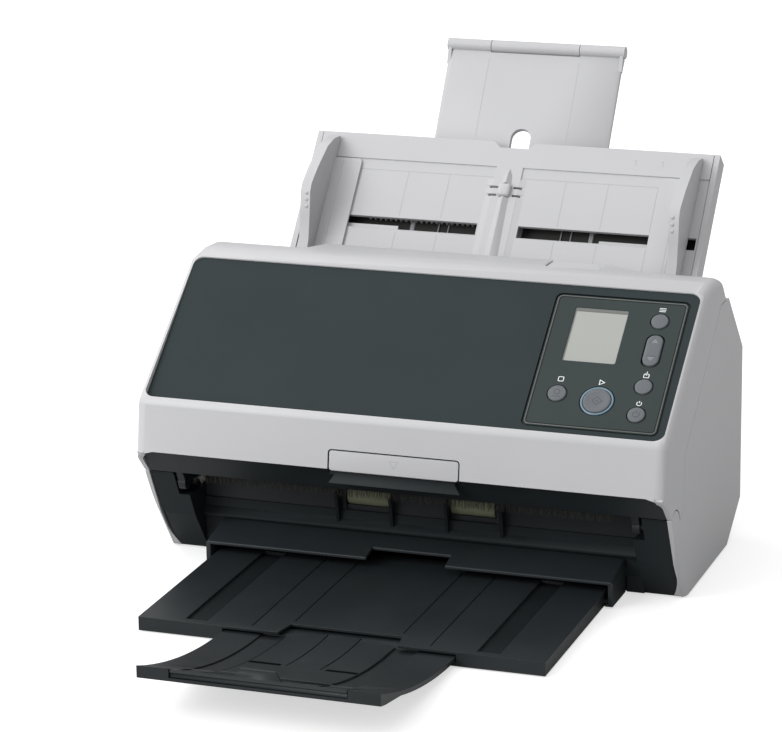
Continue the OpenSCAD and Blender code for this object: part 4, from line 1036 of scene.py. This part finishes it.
@dataclass
class Chute:
    """Paper chute with its side guides and its extension; places are millimetres on the chute."""

    shop: Workshop
    plane: Plane
    extension: Plane
    pinion: Point = (-3.7, -7.5)
    bar: Point = (62.0, -0.5)
    bar_r: float = 3.6
    face: float = -0.8
    slot: Point = (12.4, 117.5)
    slot_v: Point = (-7.4, 0.0)
    depth_h: float = -10.0
    line_x: Triple = (35.2, 60.5, 89.7)
    line_v: tuple[Point, Point] = ((1.6, 30.6), (-38.0, -9.0))
    top_line: Triple = (8.4, 114.0, 30.8)
    score: float = 0.4
    ridge_x: Point = (7.4, 12.0)
    ridge_runs: tuple[Point, ...] = ((-39.5, 18.2), (19.8, 23.4), (25.0, 29.6))
    rail_runs: tuple[tuple[Triple, ...], ...] = (
        ((-27.0, 4.5, 2.3), (-24.0, 4.4, 2.5), (17.2, 3.2, 2.5)),
        ((26.2, 3.1, 2.4), (32.0, 2.6, 2.0), (36.4, 0.4, 0.1)),
    )
    clip_v: float = 21.8
    clip_levels: tuple[Triple, ...] = (
        (7.6, 8.4, -0.1), (7.6, 8.4, 1.1), (7.2, 8.0, 1.9),
        (6.2, 7.0, 2.6), (4.2, 5.2, 2.95), (1.6, 2.4, 3.05),
    )
    foot_x: float = 90.4
    foot_v: Point = (-30.0, 36.5)
    foot_lines: tuple[float, float] = (105.4, 1.9)
    ramp: tuple[Point, Point] = ((-12.0, 19.0), (-1.0, 26.5))
    dots: Triple = (109.2, 5.0, 3.9)
    left_webs: tuple[Point, ...] = ((32.0, 0.8), (38.0, 0.8), (54.0, 3.2))
    right_webs: tuple[Point, ...] = ((36.0, 0.8), (42.0, 0.8), (54.0, 3.2))
    extension_hw: float = 53.0
    extension_line: float = 27.6
    gusset: tuple[Point, ...] = ((50.0, -0.6), (50.0, -2.6), (58.6, -3.4), (60.6, 2.4), (58.6, 1.4))
    gusset_x: Point = (51.6, 53.6)

    def build(self) -> None:
        """Makes every piece of the chute."""
        self.plates()
        self.lines()
        self.slots()
        self.rail()
        self.clip()
        for sign, side in ((-1, "left"), (1, "right")):
            self.guide(sign, side)
        self.gussets()

    def plates(self) -> None:
        """Softens the chute's face and the extension, and banks the flanks of the middle ridge."""

        def rim(place: Vector) -> bool:
            """Picks the long edges of the extension's face."""
            x, _, h = self.extension.local(place)
            return abs(abs(x) - self.extension_hw) < NEAR and abs(h) < NEAR

        self.shop.soften("chute_plate", 0.3)
        flanks = Form("ridge_flanks")
        near, far = self.ridge_x
        bank = ((near, self.face - 0.1), (far, self.face - 0.06), (near, -0.02))
        for side in (-1, 1):
            for run in self.ridge_runs:
                flanks.along(self.plane, [(v, [(side * x, h) for x, h in bank]) for v in run])
        self.shop.add(flanks, Look.SHELL, "base")
        self.shop.soften("chute_extension", 0.4, RoundOver(rim, radius=2.4, steps=1))

    def lines(self) -> None:
        """Scores the faint lines of the chute's faces and the width ticks over them, as darker lines of
        painted shade.
        """
        score = flat(self.face - 0.1, self.face + 0.03)
        form = Form("chute_scores")
        for side in (-1, 1):
            paths = [[(x, v) for v in run] for x in self.line_x for run in self.line_v]
            for path in paths + [[(x, self.top_line[2]) for x in self.top_line[:2]]]:
                form.ribbon(self.plane, [(side * x, v) for x, v in path], self.score, score)
        self.shop.add(form, Look.FAINT_LINE, "base")
        upper = Form("extension_scores")
        for x in (-self.extension_line, self.extension_line):
            upper.ribbon(self.extension, [(x, 4.0), (x, 54.0)], 0.35, SCORE)
        self.shop.add(upper, Look.FAINT_LINE, "extension")
        hook = [(-1.1, 1.5), (0, 1.5), (0, -1.7)]
        tick = Form("width_ticks").ribbon(self.plane.moved(), hook, 0.45, flat(-0.1, 0.05))
        first, step = self.plane.at(74.0, 45.4), ACROSS * (16.0 * MM)
        self.shop.repeat(tick, Look.FAINT_LINE, "base", count=3, start=first, step=step)

    def slots(self) -> None:
        """Rims the guide slots, paints shade into their depth and stands webs, in a shaded copy of the
        shell, in them.
        """
        low, high = self.slot_v
        middle, width = sum(self.slot) / 2, self.slot[1] - self.slot[0]
        floor = self.depth_h
        rims, depth, webs = Form("slot_rims"), Form("slot_depth"), Form("slot_webs")
        for side, places in ((-1, self.left_webs), (1, self.right_webs)):
            path = rounded_box(width + 0.7, high - low + 0.7, 0.5, (side * middle, (low + high) / 2), 3)
            rims.ribbon(self.plane, path, 0.6, bead(self.face - 0.1, self.face + 0.12), True)
            pit = rounded_box(width, 15.0, 1.0, (side * middle, -0.5), 2)
            depth.prism(self.plane, pit, floor - 0.06, floor + 0.1)
            for x, wide in places:
                foot, top = (rounded_box(wide * k, 14.0, 0.2, (side * x, -0.5), 2) for k in (1.0, 0.7))
                webs.crown(self.plane, [(foot, floor), (top, floor + 1.05)])
        self.shop.add(rims, Look.SHELL, "base")
        # painted shade: dark plates over the slots' white floor, and grey webs
        self.shop.add(depth, Look.SLOT_SHADE, "base")
        self.shop.add(webs, Look.GREY_SHELL, "base")

    def rail(self) -> None:
        """Raises the ridged rail on the chute's middle, under and over the clip."""
        form = Form("ridge_rail")
        ridge = lambda half, high: [(-half, -0.1), (half, -0.1), (0.3, high), (-0.3, high)]
        for run in self.rail_runs:
            form.along(self.plane, [(v, ridge(half, high)) for v, half, high in run])
        self.shop.add(form, Look.SHELL, "base")

    def clip(self) -> None:
        """Moulds the crowned clip between the slits."""
        outline = lambda wide, tall: rounded_box(wide, tall, min(wide, tall) * 0.24, (0, self.clip_v))
        levels = [(outline(wide, tall), h) for wide, tall, h in self.clip_levels]
        self.shop.add(Form("clip_pad").crown(self.plane, levels), Look.SHELL, "base", "chute_clip")

    def guide(self, sign: int, side: str) -> None:
        """Softens one side guide and adds its lines and dots.

        Args:
            sign: -1 for the left guide, 1 for the right one.
            side: its name.
        """
        body = "guide_" + side
        foot, top = self.foot_v

        def corner(place: Vector) -> bool:
            """Picks the upper inner corner of the foot."""
            x, v, _ = self.plane.local(place)
            return abs(abs(x) - self.foot_x) < NEAR and abs(v - top) < NEAR

        self.shop.soften(side + "_guide", 0.8, RoundOver(corner, radius=2.6, steps=5))
        half = (top - foot - 4) / 2
        rib = Form("guide_lines_" + side).ribbon(
            self.plane.moved(), [(0, -half), (0, half)], 0.5, bead(-0.1, 0.2)
        )
        x, pitch = self.foot_lines
        self.shop.repeat(
            rib, Look.SHELL, body, count=3, start=self.plane.at(sign * x, (foot + top) / 2, 1.0),
            step=ACROSS * (-sign * pitch * MM),
        )
        ramp = self.plane.tilted(*self.ramp)
        profile = [(1.1, -0.1), (1.1, 0.1), (0.75, 0.4), (0.2, 0.5)]
        dot = Form("guide_dots_" + side).lathe(ramp.moved(), (0, 0), profile, 12)
        x, v, pitch = self.dots
        self.shop.repeat(
            dot, Look.SHELL, body, count=3, start=ramp.at(sign * x, v), step=ramp.up * (pitch * MM)
        )

    def gussets(self) -> None:
        """Stands a small web under each end of the extension's rolled edge."""
        form = Form("extension_gussets")
        for sign in (-1, 1):
            form.side(self.extension, self.gusset, *sorted(sign * x for x in self.gusset_x))
        self.shop.add(form, Look.SHELL, "extension")


@dataclass
class PaperExit:
    """Exit under the front band: the brush, the flap, its lip and its sign; sizes in millimetres."""

    shop: Workshop
    band: Plane
    flap_hw: float = 37.0
    flap_h: float = 12.4
    corner_r: float = 1.8
    plate_levels: tuple[Point, ...] = ((0.0, -2.4), (0.0, -0.6), (0.1, -0.36), (0.3, -0.22), (0.6, -0.18))
    pin: Point = (11.1, -1.3)
    holder: Point = (2.4, 2.0)
    lip_t: float = 1.3
    lip: tuple[Triple, ...] = (
        (-6.4, -2.0, 37.0), (-6.2, -1.8, 37.3), (-5.4, -2.1, 36.9), (-4.0, -2.5, 35.9), (-2.4, -2.75, 34.8),
        (-0.8, -2.8, 34.0), (1.0, -2.8, 33.6), (4.0, -2.8, 33.6),
    )
    margin: float = 2.0
    root: float = 2.0
    strands: int = 760
    quick_share: float = 0.5
    strand_r: Triple = (0.11, 0.09, 0.04)
    quarters: tuple[float, ...] = (0.0, 1.571, 3.142, 4.712)
    tints: tuple[tuple[Look, str, int, float, float], ...] = (
        (Look.BRISTLE, "bristles_dark", 5, 0.74, 0.16), (Look.BRISTLE_TIP, "bristles_brown", 11, 0.26, 0.5)
    )

    def build(self) -> None:
        """Makes every piece of the exit."""
        self.brush()
        self.flap()
        self.visor()
        self.arrow()

    def brush(self) -> None:
        """Replaces the comb of the static brush by a holder with loose bristles."""
        low, high = (Vector(corner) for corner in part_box("static_brush"))
        front = Plane.through(high, (0, -1, 0), 0, 0)
        half = high.x / MM
        tall, deep = self.holder
        bar = rounded_box(tall, deep, 0.4, (-tall / 2, deep / 2), 3)
        form = Form("brush_holder").side(front, bar, -half, half)
        self.shop.add(form, Look.DARK, "feeder", "static_brush")
        reach = high.z - low.z - self.root * MM
        span = 2 * (half - self.margin) * MM
        drawn = self.strands * 1.0
        for look, name, seed, share, lean in self.tints:
            count = int(drawn * share)
            strand = Form(name).loft([
                [Vector((r * MM * math.cos(a), r * MM * math.sin(a), -reach * k)) for a in self.quarters]
                for r, k in zip(self.strand_r, (0.0, 0.6, 1.0))
            ])
            self.shop.repeat(
                strand, look, "feeder", count=count,
                start=Vector((-span / 2, high.y - deep / 2 * MM, high.z - self.root * MM)),
                step=ACROSS * (span / count), wander=Vector((0.25 * MM, 0.2 * MM, 0)),
                lean=Vector((0.08, lean, 0)), smallest=Vector((1, 1, 0.74)), seed=seed,
            )

    def flap(self) -> None:
        """Moulds the flap with its pin, and rounds the opening about it."""
        half, top, r = self.flap_hw, self.flap_h, self.corner_r
        shape = lambda inset: rounded_box(
            2 * (half - 0.35 - inset), top - 1.2 - 2 * inset, r - inset, (0, top / 2 + 0.3), 5
        )
        plate = Form("flap_plate").crown(self.band, [(shape(inset), h) for inset, h in self.plate_levels])
        plate.side(self.band, arc(0.8, self.pin, steps=16), -half - 2.5, half + 2.5)
        self.shop.add(plate, Look.SHELL, "flap", "exit_flap")
        corner = arc(r, (half - r, top - r), 0, 90, 5)
        webs = Form("flap_corners")
        edge = [(half + 0.2, top - r)] + corner + [(half - r, top + 0.5), (half + 0.2, top + 0.5)]
        for sign in (1, -1):
            webs.prism(self.band, sided(edge[::-1], sign), -2.2, -0.01)
        self.shop.add(webs, Look.SHELL, "feeder")
        path = [(half, 0.3)] + corner + sided(corner, -1) + [(-half, 0.3)]
        # painted shade: a dark line on the band for the gap around the flap
        seam = Form("flap_seam").ribbon(self.band, path, 0.5, flat(-0.25, 0.03))
        self.shop.add(seam, Look.GROOVE, "feeder")

    def visor(self) -> None:
        """Flares the curved dark lip under the flap towards its lower edge."""
        sections = []
        for v, h, half in self.lip:
            thick = self.lip_t + (0.6 if v > 0 else 0.0)
            sections.append((v, rounded_box(2 * half, thick, 0.4, (0, h - thick / 2), 3)))
        self.shop.add(Form("flap_visor").along(self.band, sections), Look.FASCIA, "flap", "flap_lip")

    def arrow(self) -> None:
        """Engraves the flap's triangle as a line of painted shade."""
        triangle = [(-2.2, 8.7), (2.5, 8.7), (0.15, 4.7)]
        sign = Form("flap_arrow").ribbon(self.band, triangle, 0.36, flat(-0.3, -0.15), True)
        self.shop.add(sign, Look.FAINT_LINE, "flap")


@dataclass
class Body:
    """Covers, exit and stacker: every moulded edge rounded as it is moulded; sizes in millimetres."""

    shop: Workshop
    band: Plane
    half_width: float = 150.0
    wall: float = 2.6
    ledge_z: float = 160.25
    front_yz: Point = (12.6, 25.2)
    rear_y: float = 134.8
    band_out: Triple = (0.0, -29.8, 3.9)
    brow_yz: Point = (-29.742, 98.0)
    brow_lean: Point = (0.5495, 0.9366)
    brow_y: Point = (-0.2, 5.8)
    chin_x: float = 144.8
    chin_v: Point = (-0.6, 1.4)
    hinge: Point = (-12.642, 47.5)
    knuckle_r: Point = (9.95, 8.4)
    knuckle_turn: Point = (-22, 69)
    belly: Point = (12.66, 1.6)
    cheek: Point = (-4.63, 25.32)
    cheek_x: Triple = (127, 133.5, 147.3)
    cheek_top: float = 25.6
    window: Point = (17.05, 46.45)
    sill_z: Point = (30.4, 34.75)
    sill_h: Point = (-13.7, -13.1)
    hood_xz: Point = (116.4, 14.6)
    hood_end: Triple = (117.3, 1.3, 12.4)
    hood_h: Point = (-12.6, -11.2)
    channel: Triple = (222.0, 96.0, 9.4)
    channel_yz: Point = (62.0, 5.5)
    channel_end: Point = (-110.6, -109.9)
    skin_h: Point = (0.2, 0.6)
    wrap_h: Point = (-1.0, 0.35)
    wrap: tuple[Point, ...] = (
        (148.4, 0.2), (148.4, 16.0), (147.3, 16.0), (146.9, 12.6),
        (146.3, 9.4), (145.5, 6.2), (144.5, 3.0), (143.4, 0.2),
    )
    widths: dict[str, float] = field(default_factory=lambda: {
        "front_panel": 0.35, "operator_panel": 0.3, "rear_cover": 0.8, "stacker_tray": 0.5,
        "stacker_extension": 0.5, "paper_stop": 0.35, "chute_back": 0.6, "chute_extension_2": 0.4,
        "release_tab": 0.3, "upper_guide": 0.35, "lower_guide": 0.3, "exit_rollers": 0.6,
        "bottom_plate": 0.4, "rubber_feet": 0.3, "power_inlet": 0.3, "data_sockets": 0.25,
        "case_screws": 0.15, "screen_window": 0.1,
    })

    def build(self) -> None:
        """Softens every node that shows and closes what the photograph shows closed."""
        for node, width in self.widths.items():
            self.shop.soften(node, width)
        front = RoundOver(self.front_corner, radius=4.5, steps=5)
        rear = RoundOver(self.rear_corner, radius=2.4, steps=4)
        for side in ("left", "right"):
            self.shop.soften(side + "_side_cover", 0.5, front, rear)
        brow = RoundOver(self.brow, radius=2.3, steps=4)
        chin = RoundOver(self.chin, radius=1.8, steps=4)
        self.shop.soften("feeder_cover", 0.5, brow, chin)
        self.shop.soften("exit_bezel", 0.5, RoundOver(self.cheek_edge, radius=4.0, steps=5, along="z"))
        self.tab_seam()
        self.channel_skin()
        self.exit_fillers()
        self.shop.soften("stacker_hood", 0.7, RoundOver(self.hood_edge, radius=1.8, steps=4, along="y"))

    def front_corner(self, place: Vector) -> bool:
        """Picks the outer edges of the sides' low front."""
        y, z = self.front_yz
        return abs(abs(place.x) - self.half_width) < NEAR and place.y < y and place.z < z

    def rear_corner(self, place: Vector) -> bool:
        """Picks the outer edges of the sides' rear."""
        return abs(abs(place.x) - self.half_width) < NEAR and place.y > self.rear_y

    def cheek_edge(self, place: Vector) -> bool:
        """Picks the edges of the cheeks beside the sides."""
        return abs(abs(place.x) - self.half_width + self.wall) < NEAR and place.z < self.cheek_top

    def hood_edge(self, place: Vector) -> bool:
        """Picks the upper edges at both ends of the hood."""
        x, z = self.hood_xz
        return abs(place.x) > x and place.z > z

    def brow(self, place: Vector) -> bool:
        """Picks the edge where the front band turns into the slope."""
        step = Vector((place.y, place.z)) - Vector(self.brow_yz)
        return abs(step.dot(Vector(self.brow_lean))) < NEAR and self.brow_y[0] < step.x < self.brow_y[1]

    def chin(self, place: Vector) -> bool:
        """Picks the lower edges of the front band between the exit's round corners."""
        x, v, h = self.band.local(place)
        return abs(x) < self.chin_x and abs(h) < NEAR and self.chin_v[0] < v < self.chin_v[1]

    def tab_seam(self) -> None:
        """Draws the gap in front of the release tab and beside it as a line of painted shade."""
        low, high = (Vector(corner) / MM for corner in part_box("release_tab"))
        left, right, front = low.x + 2.2, high.x - 2.2, low.y - 0.1
        path = [(left, low.y + 9.0), (left, front), (right, front), (right, low.y + 2.6)]
        top = FLOOR.moved(Vector((0, 0, self.ledge_z * MM)))
        self.shop.add(Form("tab_seam").ribbon(top, path, 0.4, flat(-0.6, 0.04)), Look.TAB_GAP, "feeder")

    def channel_skin(self) -> None:
        """Lays the thin dark skin under the stacker's channel and closes the channel's rear end."""
        (wide, deep, tall), (y, z) = self.channel, self.channel_yz
        skin = Form("channel_skin").prism(FLOOR, rounded_box(wide, deep, 3.0, (0, y), 4), *self.skin_h)
        skin.prism(FRONT, rounded_box(wide, tall, 0.5, (0, z), 3), *self.channel_end)
        self.shop.add(skin, Look.DARK, "base")

    def exit_fillers(self) -> None:
        """Closes the exit beside the hood and under the rollers, and skins the knuckles of the cheeks."""
        sill, ends = Form("roller_sill"), Form("hood_ends")
        knuckles, wraps = Form("cheek_knuckles"), Form("cheek_wraps")
        pivot = self.hinge[1], -self.hinge[0]
        (outer, inner), (start, sweep) = self.knuckle_r, self.knuckle_turn
        skin = arc(outer, pivot, start, sweep, 10) + arc(inner, pivot, start + sweep, -sweep, 10)
        slope = FLOOR.tilted(self.belly, self.cheek)
        hood_x, *hood_z = self.hood_end
        for sign in (1, -1):
            sill.prism(FRONT, sided(rect(*self.window, *self.sill_z), sign), *self.sill_h)
            ends.prism(FRONT, sided(rect(hood_x, self.cheek_x[0] + 0.2, *hood_z), sign), *self.hood_h)
            knuckles.side(FRONT, skin, *sorted(sign * x for x in self.cheek_x[1:]))
            wraps.prism(slope, sided(self.wrap, sign), *self.wrap_h)
        looks = ((sill, Look.DARK), (ends, Look.DARK), (knuckles, Look.FASCIA), (wraps, Look.SHELL))
        for form, look in looks:
            self.shop.add(form, look, "base")


@dataclass
class Stacker:
    """Shaded troughs of the stacker and the slots before its paper stop; sizes in millimetres."""

    shop: Workshop
    trough: Point = (74.2, 86.3)
    tray_y: Point = (-116.7, -4.4)
    floor_z: float = 6.8
    out_edge: float = 29.7
    out_y: Point = (-119.0, -210.0)
    out_steps: int = 24
    out_top: float = 5.43
    bend_r: float = 365.0
    bend_y: float = -108.142
    slot: Triple = (16.0, 4.4, 21.0)
    slot_y: float = -171.2

    def build(self) -> None:
        """Makes every piece of the stacker."""
        self.tray_troughs()
        self.extension_seams()
        self.stop_slots()

    def height(self, y: float) -> float:
        """Height of the bent extension's top at one place along it."""
        return self.out_top + self.bend_r - math.sqrt(self.bend_r ** 2 - (y - self.bend_y) ** 2)

    def tray_troughs(self) -> None:
        """Shades the floors of the tray's two troughs."""
        floors = Form("trough_floors")
        (x0, x1), (y0, y1) = self.trough, self.tray_y
        for sign in (1, -1):
            outline = rounded_box(x1 - x0, y1 - y0, 0.5, (sign * (x0 + x1) / 2, (y0 + y1) / 2), 3)
            floors.prism(FLOOR, outline, self.floor_z, self.floor_z + 0.1)
        # painted shade: thin dark plates on the trough floors
        self.shop.add(floors, Look.TROUGH, "stacker")

    def extension_seams(self) -> None:
        """Draws painted shade along the inner edges of the bent extension's troughs."""
        seam = Form("extension_edges")
        start, end = self.out_y
        places = [start + (end - start) * k / self.out_steps for k in range(self.out_steps + 1)]
        for sign in (1, -1):
            path = [(sign * self.out_edge, y) for y in places]
            seam.ribbon(FLOOR, path, 0.45, flat(-0.3, 0.04), lift=lambda x, y: self.height(y))
        # painted shade: a dark line where the trough's inner wall falls into shade
        self.shop.add(seam, Look.PIT, "stacker_out")

    def stop_slots(self) -> None:
        """Sinks the two slots before the paper stop and paints them black as the shade inside them."""
        y = self.slot_y
        near, far = ((y + step, self.height(y + step)) for step in (-1, 1))
        plane = FLOOR.tilted(near, far).moved(FLOOR.at(0, y, self.height(y)))
        form = Form("stop_slots")
        width, length, x = self.slot
        for sign in (1, -1):
            form.prism(plane, rounded_box(width, length, 0.5, (sign * x, 0), 3), -0.5, 0.05)
        # painted shade: the slots are coloured black
        self.shop.add(form, Look.PIT, "stacker_out")


@dataclass
class Studio:
    """Camera, floor and soft light; metres and degrees."""

    eye: Triple = (0.576, -1.6539, 0.6233)
    azimuth: float = 19.573
    elevation: float = 15.993
    roll: float = -0.741
    lens: float = 155.84
    sensor: float = 36.0
    reach: float = 8.0
    target: Triple = (0, 0, 0.1)
    ambient: float = 0.56
    floor_grey: Colour = (0.56, 0.56, 0.56)

    def build(self) -> None:
        """Sets up the whole studio."""
        self.camera()
        self.floor()
        self.light()

    def camera(self) -> None:
        """Sets the camera where the photograph was taken from."""
        data = bpy.data.cameras.new("camera")
        data.lens = self.lens
        data.sensor_width = self.sensor
        data.sensor_fit = "HORIZONTAL"
        data.clip_end = 20.0
        camera = show("camera", data)
        turn, rise, tilt = (math.radians(a) for a in (self.azimuth, self.elevation, self.roll))
        back = Vector((math.sin(turn) * math.cos(rise), -math.cos(turn) * math.cos(rise), math.sin(rise)))
        right = (-back).cross(Vector((0, 0, 1))).normalized()
        up = right.cross(-back)
        across = right * math.cos(tilt) + up * math.sin(tilt)
        upward = -right * math.sin(tilt) + up * math.cos(tilt)
        turned = Matrix((across, upward, back)).transposed().to_4x4()
        camera.matrix_world = Matrix.Translation(self.eye) @ turned
        bpy.context.scene.camera = camera

    def floor(self) -> None:
        """Lays a plain pale floor that throws little light back up."""
        mesh = bpy.data.meshes.new("floor")
        corners = [(x, y, 0) for x, y in rect(-self.reach, self.reach, -self.reach, self.reach)]
        mesh.from_pydata(corners, [], [(0, 1, 2, 3)])
        floor = show("floor", mesh)
        graph = Graph("floor_white")
        seen = graph.add("ShaderNodeLightPath", output="Is Camera Ray")
        mesh.materials.append(graph.surface(
            Base_Color=self.floor_grey, Roughness=0.9, Emission_Color=seen, Emission_Strength=0.6
        ))

    def lamp(self, name: str, kind: str, place: Triple, power: float, **settings: float) -> None:
        """Hangs one soft light that faces the object.

        Args:
            name: name of the light.
            kind: "SUN" or "AREA".
            place: where it hangs, in metres.
            power: its energy.
            settings: further settings of the light.
        """
        data = bpy.data.lights.new(name, kind)
        data.energy = power
        for key, value in settings.items():
            setattr(data, key, value)
        turned = (Vector(self.target) - Vector(place)).to_track_quat("-Z", "Y").to_matrix().to_4x4()
        show(name, data).matrix_world = Matrix.Translation(place) @ turned

    def light(self) -> None:
        """Hangs the lights and sets the ambient light."""
        world = bpy.data.worlds.new("studio")
        world.use_nodes = True
        backdrop = world.node_tree.nodes["Background"]
        backdrop.inputs["Color"].default_value = (1.0, 1.0, 1.0, 1.0)
        backdrop.inputs["Strength"].default_value = self.ambient
        bpy.context.scene.world = world
        self.lamp("key", "SUN", (-0.9, -0.9, 2.6), 1.4, angle=math.radians(80))
        self.lamp("front", "AREA", (-1.1, -1.3, 0.9), 19.0, size=1.0)
        self.lamp("rim", "AREA", (-1.1, 0.9, 1.2), 7.0, size=0.9)
        view = bpy.context.scene.view_settings
        view.view_transform = "Standard"
        view.exposure = 0.0


def main() -> None:
    """Builds the studio and dresses every part."""
    logging.basicConfig(level=logging.INFO)
    Studio().build()
    shop = Workshop()
    shop.dress_nodes()
    joints = shop.joints
    pressed = Vector(joints["menu_press"]["axis"])
    panel = Plane.through(joints["rocker_tilt"]["pos_m"], -pressed, *KeyField.pivot)
    gear = joints["guide_gear_spin"]
    chute = Plane.through(gear["pos_m"], gear["axis"], *Chute.pinion)
    way = Vector(joints["extension_top_slide"]["axis"])
    rolled = Vector(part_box("chute_extension_2")[1]) - Vector((0, Chute.bar_r, Chute.bar_r)) * MM
    extension = Plane.through(rolled, (0, -way.z, way.y), *Chute.bar)
    band = Plane.through(joints["flap_swing"]["pos_m"], Body.band_out, *PaperExit.pin)
    Body(shop, band).build()
    KeyField(shop, panel).build()
    Chute(shop, chute, extension).build()
    PaperExit(shop, band).build()
    Stacker(shop).build()
    bpy.context.view_layer.update()


if __name__ == "__main__":
    main()
